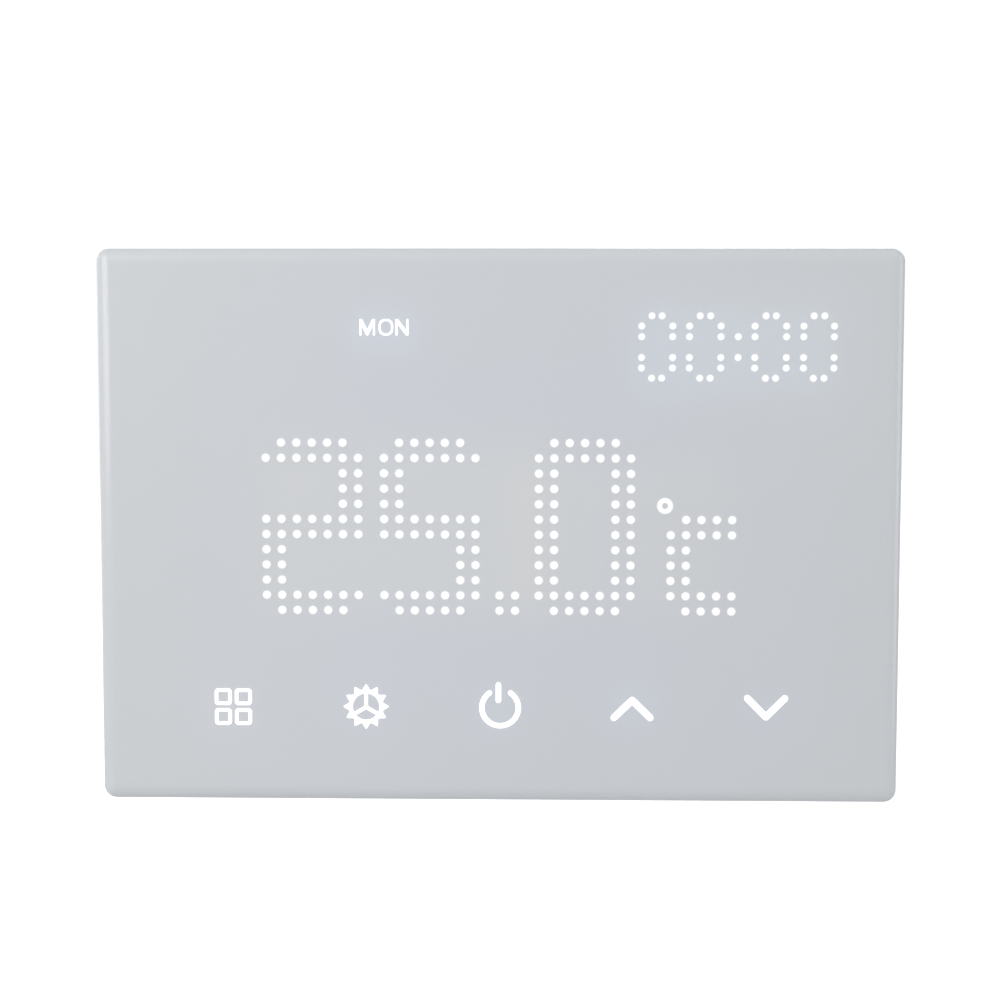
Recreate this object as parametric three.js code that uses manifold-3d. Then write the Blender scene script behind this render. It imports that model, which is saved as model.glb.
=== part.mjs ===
// Flush wall thermostat: a front unit (touch panel, housing, display board) that
// pulls straight off a wall plate, and an in-wall power module with relay,
// transformer and a six-pole rising-cage terminal block.
// Millimetres. X to the right, Z up, the front faces -Y, the wall plane is Y = 0.
// The origin is the centre of the wall plane, in the middle of the wall box.

import * as THREE from 'three';
import { mergeVertices } from 'three/addons/utils/BufferGeometryUtils.js';
import Module from 'manifold-3d';

// ---------------------------------------------------------------- dimensions
const PANEL_W = 120;            // front panel width
const PANEL_H = 83;             // front panel height
const PANEL_R = 1.9;            // corner radius seen from the front
const PANEL_T = 2.2;            // panel thickness
const EDGE = 1.6;               // width of the rounded front edge
const EDGE_DEPTH = 1.4;         // depth of the rounded front edge
const FRONT_Y = -14;            // front face of the panel
const PANEL_BACK = FRONT_Y + PANEL_T;

const SHELL_W = 119.2;          // housing outer width behind the panel
const SHELL_H = 82.2;
const SHELL_DRAFT = 0.6;        // narrowing per side towards the wall
const SHELL_WALL = 1.6;
const DECK_FRONT = -11.45;
const DECK_BACK = -9.9;
const SHELL_BACK = -0.6;        // shadow gap to the wall

const BOARD_W = 110;            // display board
const BOARD_H = 72.4;
const BOARD_FRONT = -8.3;
const BOARD_BACK = -6.7;
const BOARD_SCREW_X = 52;
const BOARD_SCREW_Z = 17.6;

const ICON_X = [-40.35, -20.2, 0.1, 20.14, 40.36];   // touch key centres
const ICON_Z = -27.3;
const SPRING_R = 3.0;
const SPRING_WIRE = 0.28;

const PLATE_W = 114;            // wall plate
const PLATE_H = 77;
const PLATE_FRONT = -2;
const SLOT_SPACING = 83.5;      // wall box screw spacing
const SLOT_W = 4.6;
const SLOT_L = 9;

const CASE_W = 66;              // in-wall module
const CASE_H = 52;
const CASE_FRONT = 0.3;
const CASE_BACK = 25.3;
const CASE_STEP_Y = 5.7;        // back of the shallow lower part
const CASE_STEP_Z = -13;
const CASE_WALL = 1.5;
const CASE_SCREW_X = 29.2;
const CASE_SCREW_Z = 22.2;

const PCB_FRONT = 2.3;          // power board
const PCB_BACK = 3.9;

const PIN_COUNT = 8;
const PIN_PITCH = 2.54;
const PIN_Z = -17.5;

const POLES = 6;
const POLE_PITCH = 7.62;
const TERM_Y0 = 4.2;
const TERM_Y1 = 17.4;
const TERM_Z0 = -26;
const TERM_Z1 = -14.2;
const TERM_SCREW_Z = -19;

// ---------------------------------------------------------------- helpers
const wasm = await Module();
wasm.setup();

// closed indexed mesh -> solid
function solid(geometry) {
  const g = geometry.index ? geometry.toNonIndexed() : geometry.clone();
  g.deleteAttribute('normal');
  g.deleteAttribute('uv');
  const m = mergeVertices(g, 1e-4);
  const src = m.index.array;
  const tri = [];
  for (let i = 0; i < src.length; i += 3) {
    const [a, b, c] = [src[i], src[i + 1], src[i + 2]];
    if (a !== b && b !== c && a !== c) tri.push(a, b, c);
  }
  return new wasm.Manifold(new wasm.Mesh({
    numProp: 3,
    vertProperties: new Float32Array(m.attributes.position.array),
    triVerts: new Uint32Array(tri),
  }));
}

// solid -> geometry
function shell(manifold) {
  const mesh = manifold.getMesh();
  const g = new THREE.BufferGeometry();
  g.setAttribute('position', new THREE.BufferAttribute(new Float32Array(mesh.vertProperties), 3));
  g.setIndex(new THREE.BufferAttribute(new Uint32Array(mesh.triVerts), 1));
  return g;
}

const join = (...list) => list.reduce((a, b) => a.add(b));
const cut = (body, ...list) => list.reduce((a, b) => a.subtract(b), body);

function box(x0, x1, y0, y1, z0, z1) {
  const g = new THREE.BoxGeometry(x1 - x0, y1 - y0, z1 - z0);
  g.translate((x0 + x1) / 2, (y0 + y1) / 2, (z0 + z1) / 2);
  return solid(g);
}

function cylY(r, y0, y1, x = 0, z = 0, seg = 12, r2 = r) {
  // r at y1, r2 at y0
  const g = new THREE.CylinderGeometry(r, r2, y1 - y0, seg);
  g.translate(x, (y0 + y1) / 2, z);
  return solid(g);
}

function cylZ(r, z0, z1, x, y, seg = 14) {
  const g = new THREE.CylinderGeometry(r, r, z1 - z0, seg);
  g.rotateX(Math.PI / 2);
  g.translate(x, y, (z0 + z1) / 2);
  return solid(g);
}

function rounded(w, h, r, cx = 0, cz = 0) {
  const s = new THREE.Shape();
  const a = w / 2, b = h / 2;
  s.moveTo(cx - a + r, cz - b);
  s.lineTo(cx + a - r, cz - b);
  s.absarc(cx + a - r, cz - b + r, r, -Math.PI / 2, 0, false);
  s.lineTo(cx + a, cz + b - r);
  s.absarc(cx + a - r, cz + b - r, r, 0, Math.PI / 2, false);
  s.lineTo(cx - a + r, cz + b);
  s.absarc(cx - a + r, cz + b - r, r, Math.PI / 2, Math.PI, false);
  s.lineTo(cx - a, cz - b + r);
  s.absarc(cx - a + r, cz - b + r, r, Math.PI, 1.5 * Math.PI, false);
  return s;
}

// outline in X-Z, thickness along Y
function plateY(shape, y0, y1, seg = 4, bevel = null) {
  const options = { depth: y1 - y0, bevelEnabled: false, curveSegments: seg };
  if (bevel) Object.assign(options, bevel, { bevelEnabled: true });
  const g = new THREE.ExtrudeGeometry(shape, options);
  g.applyMatrix4(new THREE.Matrix4().makeBasis(
    new THREE.Vector3(1, 0, 0), new THREE.Vector3(0, 0, 1), new THREE.Vector3(0, -1, 0)));
  g.translate(0, y1, 0);
  return g;
}

// outline in Y-Z, thickness along X
function plateX(points, x0, x1) {
  const s = new THREE.Shape(points.map(([y, z]) => new THREE.Vector2(y, z)));
  const g = new THREE.ExtrudeGeometry(s, { depth: x1 - x0, bevelEnabled: false });
  g.applyMatrix4(new THREE.Matrix4().makeBasis(
    new THREE.Vector3(0, 1, 0), new THREE.Vector3(0, 0, 1), new THREE.Vector3(1, 0, 0)));
  g.translate(x0, 0, 0);
  return solid(g);
}

// sideways draft: shrinks in X and Z by d per side from y0 to y1
function draft(geometry, w, h, y0, y1, d) {
  const p = geometry.attributes.position;
  for (let i = 0; i < p.count; i++) {
    const t = (p.getY(i) - y0) / (y1 - y0);
    p.setX(i, p.getX(i) * (1 - t * d / (w / 2)));
    p.setZ(i, p.getZ(i) * (1 - t * d / (h / 2)));
  }
  return geometry;
}

function lathe(points, seg) {
  return new THREE.LatheGeometry(points.map(([r, y]) => new THREE.Vector2(r, y)), seg);
}

function paint(hex, roughness, metalness = 0) {
  return () => new THREE.MeshStandardMaterial({ color: hex, roughness, metalness });
}

const M = {
  panel: paint(0xc9ccd2, 0.22),
  shell: paint(0xc4c6ca, 0.5),
  plate: paint(0xd9dadb, 0.6),
  module: paint(0xe2e2de, 0.55),
  pcbGreen: paint(0x1d5a35, 0.45),
  pcbBlack: paint(0x14171a, 0.4),
  adhesive: paint(0x1b1b1d, 0.85),
  guide: paint(0xf2f2f0, 0.5),
  steel: paint(0xb8babd, 0.35, 1),
  zinc: paint(0xc3c6c9, 0.4, 1),
  brass: paint(0xc9a24e, 0.35, 1),
  copper: paint(0xb56a3c, 0.4, 1),
  black: paint(0x1a1b1d, 0.5),
  chip: paint(0x202225, 0.55),
  blue: paint(0x1f5fa8, 0.45),
  relay: paint(0x1d4f93, 0.4),
  ferrite: paint(0x34353a, 0.65),
  tape: paint(0xe6c23a, 0.5),
  film: paint(0xe0b93a, 0.45),
  sleeve: paint(0x23262b, 0.4),
  fuse: paint(0x5b3a26, 0.5),
  terminal: paint(0x2f8f57, 0.5),
  sensor: paint(0x2c1a14, 0.35),
  bobbin: paint(0x8a5a30, 0.6),
};

const thermostat = new THREE.Group();
const frontUnit = new THREE.Group();
const base = new THREE.Group();
const relay = new THREE.Group();
const terminals = new THREE.Group();
thermostat.add(frontUnit, base);
base.add(relay, terminals);

// geometry may be a solid or a BufferGeometry drawn in the frame of the object;
// it is re-centred on itself and the mesh carries its place
function add(group, name, shape, material, at = null) {
  let g = shape.getMesh ? shell(shape) : shell(solid(shape));
  const place = new THREE.Vector3();
  if (at) {
    place.set(...at);
  } else {
    g.computeBoundingBox();
    g.boundingBox.getCenter(place);
    g.translate(-place.x, -place.y, -place.z);
  }
  g = g.toNonIndexed();
  g.computeVertexNormals();
  const mesh = new THREE.Mesh(g, material());
  mesh.name = name;
  mesh.position.copy(place);
  group.add(mesh);
  return mesh;
}

// ---------------------------------------------------------------- front panel
{
  // the rounded edge belongs to the front only, so the back half is cut away
  const g = plateY(rounded(PANEL_W - 2 * EDGE, PANEL_H - 2 * EDGE, PANEL_R - EDGE), FRONT_Y + EDGE_DEPTH, PANEL_BACK + 3, 5,
    { bevelThickness: EDGE_DEPTH, bevelSize: EDGE, bevelSegments: 4 });
  const keep = box(-80, 80, FRONT_Y - 1, PANEL_BACK, -60, 60);
  add(frontUnit, 'front_panel', solid(g).intersect(keep), M.panel);

  const ring = cut(solid(plateY(rounded(117, 80, 1.4), PANEL_BACK + 0.05, DECK_FRONT - 0.05)),
    solid(plateY(rounded(111, 74, 1.0), PANEL_BACK - 1, DECK_FRONT + 1)));
  add(frontUnit, 'panel_adhesive', ring, M.adhesive);
}

// ---------------------------------------------------------------- front housing
{
  const outer = draft(plateY(rounded(SHELL_W, SHELL_H, 1.8), DECK_FRONT, SHELL_BACK, 4),
    SHELL_W, SHELL_H, DECK_FRONT, SHELL_BACK, SHELL_DRAFT);
  const iw = SHELL_W - 2 * SHELL_WALL, ih = SHELL_H - 2 * SHELL_WALL;
  const inner = draft(plateY(rounded(iw, ih, 1.0), DECK_BACK, SHELL_BACK + 1, 3),
    iw, ih, DECK_FRONT, SHELL_BACK, SHELL_DRAFT);
  let body = cut(solid(outer), solid(inner));

  const holes = [
    box(-37.1, 37.1, -12, -9, -14.8, 14.8),          // temperature digits
    box(19.6, 51.5, -12, -9, 20.6, 33.3),            // clock digits
    box(-22.6, -12.4, -12, -9, 27.6, 32.2),          // weekday letters
  ];
  for (const x of ICON_X) holes.push(cylY(4.6, -12, -9, x, ICON_Z, 14));
  for (let i = -5; i <= 5; i++) {
    holes.push(box(i * 4.2 - 1.1, i * 4.2 + 1.1, -8.8, -3.6, -44, -37));
    holes.push(box(i * 4.2 - 1.1, i * 4.2 + 1.1, -8.8, -3.6, 37, 44));
  }
  for (const s of [-1, 1]) holes.push(box(s * 27 - 4.5, s * 27 + 4.5, -2.2, 0.5, -44, -37));
  body = cut(body, ...holes);

  const bosses = [];
  for (const sx of [-1, 1]) for (const sz of [-1, 1]) {
    bosses.push(cylY(2.7, DECK_BACK - 0.2, BOARD_FRONT - 0.2, sx * BOARD_SCREW_X, sz * BOARD_SCREW_Z, 14));
    // catch ribs behind the long walls
    bosses.push(box(sx * 40 - 4, sx * 40 + 4, -4.6, -3.6, sz > 0 ? 38.4 : -39.6, sz > 0 ? 39.6 : -38.4));
  }
  body = join(body, ...bosses);
  const pilots = [];
  for (const sx of [-1, 1]) for (const sz of [-1, 1]) {
    pilots.push(cylY(1.15, -11.1, -7, sx * BOARD_SCREW_X, sz * BOARD_SCREW_Z, 10));
  }
  body = cut(body, ...pilots);
  add(frontUnit, 'front_housing', body, M.shell);
}

// ---------------------------------------------------------------- light guides
{
  const g0 = -11.3, g1 = BOARD_FRONT - 0.1;
  let digits = box(-36.7, 36.7, g0, g1, -14.4, 14.4);
  digits = cut(digits,
    box(-36.1, -19.9, -13, -7, -13.8, 13.8),
    box(-18.4, -2.3, -13, -7, -13.8, 13.8),
    box(-1.1, 21.0, -13, -7, -13.8, 13.8),
    box(22.4, 36.1, -13, -7, -13.8, 13.8));
  add(frontUnit, 'digit_light_guide', digits, M.guide);

  let clock = box(20.0, 51.1, g0, g1, 21.0, 32.9);
  clock = cut(clock,
    box(20.5, 26.7, -13, -7, 21.5, 32.4),
    box(27.5, 33.9, -13, -7, 21.5, 32.4),
    box(34.7, 36.5, -13, -7, 21.5, 32.4),
    box(37.3, 43.5, -13, -7, 21.5, 32.4),
    box(44.4, 50.6, -13, -7, 21.5, 32.4));
  add(frontUnit, 'clock_light_guide', clock, M.guide);
}

// ---------------------------------------------------------------- display board
{
  let board = solid(plateY(rounded(BOARD_W, BOARD_H, 2), BOARD_FRONT, BOARD_BACK, 3));
  const holes = [];
  for (const sx of [-1, 1]) for (const sz of [-1, 1]) {
    holes.push(cylY(1.3, -10, -5, sx * BOARD_SCREW_X, sz * BOARD_SCREW_Z, 12));
  }
  holes.push(box(42, 43, -10, -5, -37, -31), box(49, 50, -10, -5, -37, -31)); // thermal slits beside the sensor
  board = cut(board, ...holes);
  add(frontUnit, 'display_board', board, M.pcbBlack);

  class Helix extends THREE.Curve {
    constructor(r, h, turns) { super(); this.r = r; this.h = h; this.turns = turns; }
    getPoint(t, target = new THREE.Vector3()) {
      const a = t * this.turns * 2 * Math.PI;
      return target.set(this.r * Math.cos(a), (t - 0.5) * this.h, this.r * Math.sin(a));
    }
  }
  ICON_X.forEach((x, i) => {
    const ring = new THREE.Shape([0, 1, 2, 3, 4].map((k) => new THREE.Vector2(
      SPRING_WIRE * Math.cos(k * 0.4 * Math.PI), SPRING_WIRE * Math.sin(k * 0.4 * Math.PI))));
    const y0 = PANEL_BACK + 0.1 + SPRING_WIRE, y1 = BOARD_FRONT - 0.1 - SPRING_WIRE;
    const g = new THREE.ExtrudeGeometry(ring, {
      steps: 27, bevelEnabled: false,
      extrudePath: new Helix(SPRING_R, y1 - y0, 3),
    });
    add(frontUnit, `touch_spring_${i + 1}`, g, M.steel, [x, (y0 + y1) / 2, ICON_Z]);
  });

  // parts on the back of the display board
  const b = BOARD_BACK + 0.05;
  let module = solid(plateY(rounded(16, 24, 0.4, -38, 22), b, b + 0.8, 2));
  add(frontUnit, 'wifi_module', module, M.pcbBlack);
  add(frontUnit, 'wifi_shield', solid(plateY(rounded(14.4, 16.4, 0.8, -38, 18.8), b + 0.85, b + 2.9, 3)), M.steel);
  let chip = solid(plateY(rounded(12, 12, 0.3, -2, 14), b + 0.1, b + 1.6, 1));
  chip = cut(chip, cylY(0.6, b + 1.45, b + 3, -6.6, 18.6, 8));
  add(frontUnit, 'mcu_chip', chip, M.chip);

  const buzz = solid(lathe([[0, 0], [4.5, 0], [4.5, 2.9], [4.2, 3.3], [1.0, 3.3], [1.0, 2.0], [0, 2.0]], 14));
  add(frontUnit, 'buzzer', buzz, M.black, [31, b, 20]);

  // coin cell holder: a tray with two retaining claws
  const hx = 34, hz = -6;
  let holder = box(hx - 8.4, hx + 8.4, b, b + 3.4, hz - 7.4, hz + 7.4);
  holder = cut(holder, cylY(6.7, b + 0.5, b + 5, hx, hz, 18));
  holder = join(holder,
    box(hx - 8.4, hx - 5.2, b + 2.75, b + 3.4, hz - 3, hz + 3),
    box(hx + 5.2, hx + 8.4, b + 2.75, b + 3.4, hz - 3, hz + 3));
  holder = cut(holder, box(hx - 2, hx + 2, b + 1.2, b + 4, hz + 6, hz + 9));
  add(frontUnit, 'battery_holder', holder, M.black);
  const cell = solid(lathe([[0, 0], [5.2, 0], [5.5, 0.3], [6.25, 0.5], [6.25, 2], [0, 2]], 18));
  add(frontUnit, 'coin_cell', cell, M.zinc, [hx, b + 0.6, hz]);

  // pin header towards the power board
  let header = box(-10.3, 10.3, b, b + 2.45, PIN_Z - 1.25, PIN_Z + 1.25);
  for (let i = 0; i < PIN_COUNT; i++) {
    const x = (i - (PIN_COUNT - 1) / 2) * PIN_PITCH;
    header = join(header, box(x - 0.32, x + 0.32, b + 2, 1.8, PIN_Z - 0.32, PIN_Z + 0.32));
  }
  add(frontUnit, 'pin_header', header, M.black);

  // air temperature sensor, a bead on two leads over the lower vent slots
  const bead = new THREE.SphereGeometry(1.0, 8, 6);
  bead.translate(45.9, -5.6, -37.2);
  const sensor = join(solid(bead),
    box(45.2, 45.6, -5.8, -5.4, -37.2, -34.4), box(46.2, 46.6, -5.8, -5.4, -37.2, -34.4),
    box(45.2, 45.6, b, -5.4, -34.8, -34.4), box(46.2, 46.6, b, -5.4, -34.8, -34.4));
  add(frontUnit, 'temp_sensor', sensor, M.sensor);

  // board screws
  let n = 1;
  for (const sz of [1, -1]) for (const sx of [-1, 1]) {
    let screw = solid(lathe([[0, -3.9], [0.8, -3.2], [0.8, 0], [2.2, 0], [2.2, 0.7], [1.5, 1.35], [0, 1.35]], 10));
    screw = cut(screw, box(-1.2, 1.2, 0.7, 2, -0.22, 0.22), box(-0.22, 0.22, 0.7, 2, -1.2, 1.2));
    add(frontUnit, `board_screw_${n++}`, screw, M.zinc, [sx * BOARD_SCREW_X, BOARD_BACK + 0.05, sz * BOARD_SCREW_Z]);
  }
}

// ---------------------------------------------------------------- wall plate
{
  let plate = solid(plateY(rounded(PLATE_W, PLATE_H, 2.4), PLATE_FRONT, 0, 4));
  // stiffening rim, set in from the edge, with the hook tongues standing up from it
  const rim = cut(solid(plateY(rounded(112.4, 75.4, 2.0), -4.2, PLATE_FRONT + 0.2, 3)),
    solid(plateY(rounded(109.8, 72.8, 1.2), -6, 0, 3)));
  const slits = [];
  for (const sx of [-1, 1]) for (const sz of [-1, 1]) for (const e of [-5.1, 4.1]) {
    slits.push(box(sx * 40 + e, sx * 40 + e + 1, -6, PLATE_FRONT, sz > 0 ? 36 : -39, sz > 0 ? 39 : -36));
  }
  plate = join(plate, cut(rim, ...slits));
  for (const sx of [-1, 1]) for (const sz of [-1, 1]) {
    const z = (a, b) => (sz > 0 ? [a, b] : [-b, -a]);
    plate = join(plate, box(sx * 40 - 4, sx * 40 + 4, -6.2, PLATE_FRONT + 0.2, ...z(36.8, 37.7)),
      box(sx * 40 - 4, sx * 40 + 4, -6.2, -5.2, ...z(37.5, 38.1)));
  }
  // low frame over the module and ribs out to the rim
  const frame = cut(solid(plateY(rounded(70, 56, 2), -2.7, PLATE_FRONT + 0.2, 3)),
    solid(plateY(rounded(67.6, 53.6, 1.4), -4, 0, 3)));
  plate = join(plate, frame,
    box(-0.6, 0.6, -2.7, -1.9, 27.4, 37), box(-0.6, 0.6, -2.7, -1.9, -37, -27.4),
    box(-55.5, -48.5, -2.7, -1.9, -0.6, 0.6), box(48.5, 55.5, -2.7, -1.9, -0.6, 0.6),
    box(-55, -34.4, -2.7, -1.9, 23.4, 24.6), box(34.4, 55, -2.7, -1.9, 23.4, 24.6),
    box(-55, -34.4, -2.7, -1.9, -24.6, -23.4), box(34.4, 55, -2.7, -1.9, -24.6, -23.4));

  const holes = [box(-13, 13, -6, 2, -21.2, -13.8)];
  for (const s of [-1, 1]) {
    const x = s * SLOT_SPACING / 2;
    holes.push(solid(plateY(rounded(SLOT_W, SLOT_L, SLOT_W / 2 - 0.01, x, 0), -4, 2, 4)));
    holes.push(solid(plateY(rounded(10.4, 14.8, 5.1, x, 0), -4, -1.2, 4)));
    for (const sz of [-1, 1]) {
      holes.push(cylY(1.7, -6, 2, s * CASE_SCREW_X, sz * CASE_SCREW_Z, 10));
      // small round fixing holes for a solid wall
      holes.push(cylY(1.9, -6, 2, s * 49, sz * 30, 10));
    }
  }
  for (let i = -3; i <= 3; i++) {
    if (i === 0) continue;
    holes.push(box(i * 6.4 - 0.9, i * 6.4 + 0.9, -6, 2, 0, 16));
  }
  plate = cut(plate, ...holes);
  add(base, 'back_plate', plate, M.plate);
}

// ---------------------------------------------------------------- in-wall case
{
  let body = join(
    solid(plateY(rounded(CASE_W, CASE_H, 2), CASE_FRONT, CASE_STEP_Y, 3)),
    solid(plateY(rounded(CASE_W, CASE_H / 2 - CASE_STEP_Z, 2, 0, (CASE_H / 2 + CASE_STEP_Z) / 2), CASE_FRONT, CASE_BACK, 3)));
  const hx = CASE_W / 2 - CASE_WALL, hz = CASE_H / 2 - CASE_WALL;
  body = cut(body,
    box(-hx, hx, -1, CASE_STEP_Y - CASE_WALL, -hz, hz),
    box(-hx, hx, -1, CASE_BACK - 1.6, CASE_STEP_Z + CASE_WALL, hz),
    box(-24.3, 24.3, 4.05, 8, -30, -13.7));          // seat of the terminal block
  const bosses = [], pilots = [];
  for (const sx of [-1, 1]) for (const sz of [-1, 1]) {
    const y1 = sz > 0 ? 12 : CASE_STEP_Y;
    bosses.push(cylY(2.8, CASE_FRONT, y1, sx * CASE_SCREW_X, sz * CASE_SCREW_Z, 14));
    pilots.push(cylY(1.6, -1, 5.0, sx * CASE_SCREW_X, sz * CASE_SCREW_Z, 12));
    // board ledges
    const lz = sz > 0 ? 4.6 : -10.6;
    bosses.push(box(sx > 0 ? 30.2 : -32, sx > 0 ? 32 : -30.2, PCB_BACK + 0.3, 7, lz - 1.3, lz + 1.3));
  }
  body = cut(join(body, ...bosses), ...pilots);
  const vents = [];
  for (let i = -3; i <= 3; i++) {
    vents.push(box(i * 6 - 1.1, i * 6 + 1.1, 22, 27, -3, 15));
    vents.push(box(i * 6 - 1.1, i * 6 + 1.1, 9, 19, 23, 28));
  }
  body = cut(body, ...vents);
  add(base, 'power_case', body, M.module);
}

// ---------------------------------------------------------------- power board
{
  let board = box(-30.9, 30.9, PCB_FRONT, PCB_BACK, -24.2, 24.2);
  for (const sx of [-1, 1]) for (const sz of [-1, 1]) {
    board = cut(board, box(sx > 0 ? 25.8 : -32, sx > 0 ? 32 : -25.8, 0, 6, sz > 0 ? 18.8 : -26, sz > 0 ? 26 : -18.8));
  }
  board = cut(board, box(-9.3, -8.1, 0, 6, -12, 19)); // isolation slit
  add(base, 'power_board', board, M.pcbGreen);

  let socket = box(-10.5, 10.5, -3.9, PCB_FRONT - 0.1, PIN_Z - 1.4, PIN_Z + 1.4);
  for (let i = 0; i < PIN_COUNT; i++) {
    const x = (i - (PIN_COUNT - 1) / 2) * PIN_PITCH;
    socket = cut(socket, box(x - 0.65, x + 0.65, -5, 4, PIN_Z - 0.65, PIN_Z + 0.65));
  }
  add(base, 'socket_header', socket, M.black);

  const y = PCB_BACK + 0.3;
  const can = (r, h, c) => solid(lathe([[0, 0], [r - 0.3, 0], [r, 0.4], [r, 1.3], [r - 0.45, 1.8], [r, 2.3],
    [r, h - 0.6], [r - 0.5, h], [0, h]], c));
  add(base, 'capacitor_1', can(5, 16.2, 14), M.sleeve, [-2.6, y, 15]);
  add(base, 'capacitor_2', can(4, 11.6, 12), M.blue, [26.6, y, -4.6]);
  add(base, 'film_capacitor', solid(plateY(rounded(13, 6, 0.5, -21.6, -4.2), y, y + 11, 2)), M.film);
  add(base, 'varistor', join(cylZ(5, -5.8, -2.4, -6.6, y + 6.6, 20),
    box(-9.4, -9, y, y + 4, -4.3, -3.9), box(-4.2, -3.8, y, y + 4, -4.3, -3.9)), M.blue);
  add(base, 'fuse', solid(lathe([[0, 0], [4.1, 0], [4.1, 7.2], [3.7, 7.6], [0, 7.6]], 18)), M.fuse, [5.6, y, -4.6]);

  // transformer: ferrite frame round a bobbin
  const tx = 15.4, tz = 11;
  let core = box(tx - 8, tx + 8, 6.2, 20.2, tz - 2.5, tz + 2.5);
  core = cut(core, box(tx - 5.4, tx - 2.1, 8.7, 17.7, tz - 4, tz + 4), box(tx + 2.1, tx + 5.4, 8.7, 17.7, tz - 4, tz + 4));
  add(base, 'transformer_core', core, M.ferrite);
  let winding = solid(plateY(rounded(10, 11, 1.6, tx, tz), 9.1, 17.3, 3));
  winding = join(winding, box(tx - 7, tx + 7, y, 9.6, tz - 6.6, tz - 2.9), box(tx - 7, tx + 7, y, 9.6, tz + 2.9, tz + 6.6));
  winding = cut(winding, box(tx - 2.5, tx + 2.5, 3, 19, tz - 2.9, tz + 2.9));
  add(base, 'transformer_winding', winding, M.tape);
}

// ---------------------------------------------------------------- relay
{
  const cx = -21.3, cz = 10.5;                 // core post
  let cover = box(-29.5, -10.1, 4.5, 19.6, 2.8, 18.2);
  cover = cut(cover, box(-28.7, -10.9, 3, 18.8, 3.6, 17.4), cylY(0.6, 17, 21, -12.6, 5.2, 8));
  add(relay, 'relay_case', cover, M.relay);

  const frame = join(box(-28.4, -11.2, 4.2, 5.8, 3.9, 17.1), box(-28.4, -27.2, 5.6, 15.2, cz - 4, cz + 4),
    cylY(1.75, 5.6, 15.0, cx, cz, 14));
  add(relay, 'relay_frame', frame, M.zinc);

  const coil = solid(lathe([[2.1, 0], [5.6, 0], [5.6, 0.7], [5.1, 0.7], [5.1, 7.6], [5.6, 7.6], [5.6, 8.3], [2.1, 8.3], [2.1, 0]], 14));
  add(relay, 'relay_coil', coil, M.copper, [cx, 6.1, cz]);

  const arm = join(box(-28.3, -15.8, 15.6, 16.6, cz - 4, cz + 4), box(-20, -12.4, 16.5, 16.9, cz - 2, cz + 2),
    cylY(1.2, 15.2, 16.7, -13.6, cz, 12));
  add(relay, 'relay_armature', arm, M.steel);

  const fixed = join(box(-12.9, -12.4, 6.1, 13.7, cz - 2, cz + 2), box(-14.8, -12.4, 13.2, 13.7, cz - 2, cz + 2),
    cylY(1.2, 13.5, 14.1, -13.6, cz, 12));
  add(relay, 'relay_contact', fixed, M.brass);
}

// ---------------------------------------------------------------- terminals
{
  const poleX = (i) => (i - (POLES - 1) / 2) * POLE_PITCH;
  const half = POLES * POLE_PITCH / 2 + 1;
  let block = plateX([[TERM_Y0, TERM_Z0], [13.4, TERM_Z0], [TERM_Y1, -23.2], [TERM_Y1, TERM_Z1], [TERM_Y0, TERM_Z1]], -half, half);
  for (let i = 0; i < POLES; i++) {
    const x = poleX(i);
    block = cut(block,
      box(x - 3, x + 3, 4.9, 14.5, -25, -16),
      box(x - 2.4, x + 2.4, 5.4, 10.2, -27, -24.9),
      cylY(1.7, 14.4, 15.4, x, TERM_SCREW_Z, 10),
      cylY(2.4, 15.3, 18, x, TERM_SCREW_Z, 14));
    block = join(block, box(x - 1.5, x + 1.5, 8.7, 9.4, -21.9, -15.9));
    if (i > 0) {
      const g = x - POLE_PITCH / 2;
      block = cut(block, box(g - 0.3, g + 0.3, 16.4, 18, -27, -13));
    }
  }
  add(terminals, 'terminal_block', block, M.terminal);

  for (let i = 0; i < POLES; i++) {
    let screw = solid(lathe([[0, 9.7], [1.3, 9.7], [1.3, 15.6], [2.05, 15.6], [2.05, 16.7], [1.75, 17.1], [0, 17.1]], 10));
    screw = cut(screw, box(-2.4, 2.4, 16.3, 18, -0.35, 0.35));
    add(terminals, `terminal_screw_${i + 1}`, screw, M.zinc, [poleX(i), 0, TERM_SCREW_Z]);
  }
  for (let i = 0; i < POLES; i++) {
    let cage = box(-2.6, 2.6, 5.2, 11.7, -2.3, 2.3);
    cage = cut(cage, box(-1.9, 1.9, 6.0, 10.9, -4, 4), cylY(1.65, 10, 13, 0, 0, 8));
    add(terminals, `terminal_clamp_${i + 1}`, cage, M.brass, [poleX(i), 0, TERM_SCREW_Z]);
  }
}

// ---------------------------------------------------------------- case screws
{
  let n = 1;
  for (const sz of [1, -1]) for (const sx of [-1, 1]) {
    let screw = solid(lathe([[0, -6.5], [1.2, -5.7], [1.2, 0], [2.6, 0], [2.6, 0.6], [1.8, 1.2], [0, 1.2]], 10)
      .rotateX(Math.PI));
    screw = cut(screw, box(-1.4, 1.4, -2, -0.6, -0.28, 0.28), box(-0.28, 0.28, -2, -0.6, -1.4, 1.4));
    add(base, `plate_screw_${n++}`, screw, M.zinc, [sx * CASE_SCREW_X, PLATE_FRONT - 0.05, sz * CASE_SCREW_Z]);
  }
}

export default thermostat;
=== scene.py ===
import math

import bmesh
import bpy
from mathutils import Matrix, Vector

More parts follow.
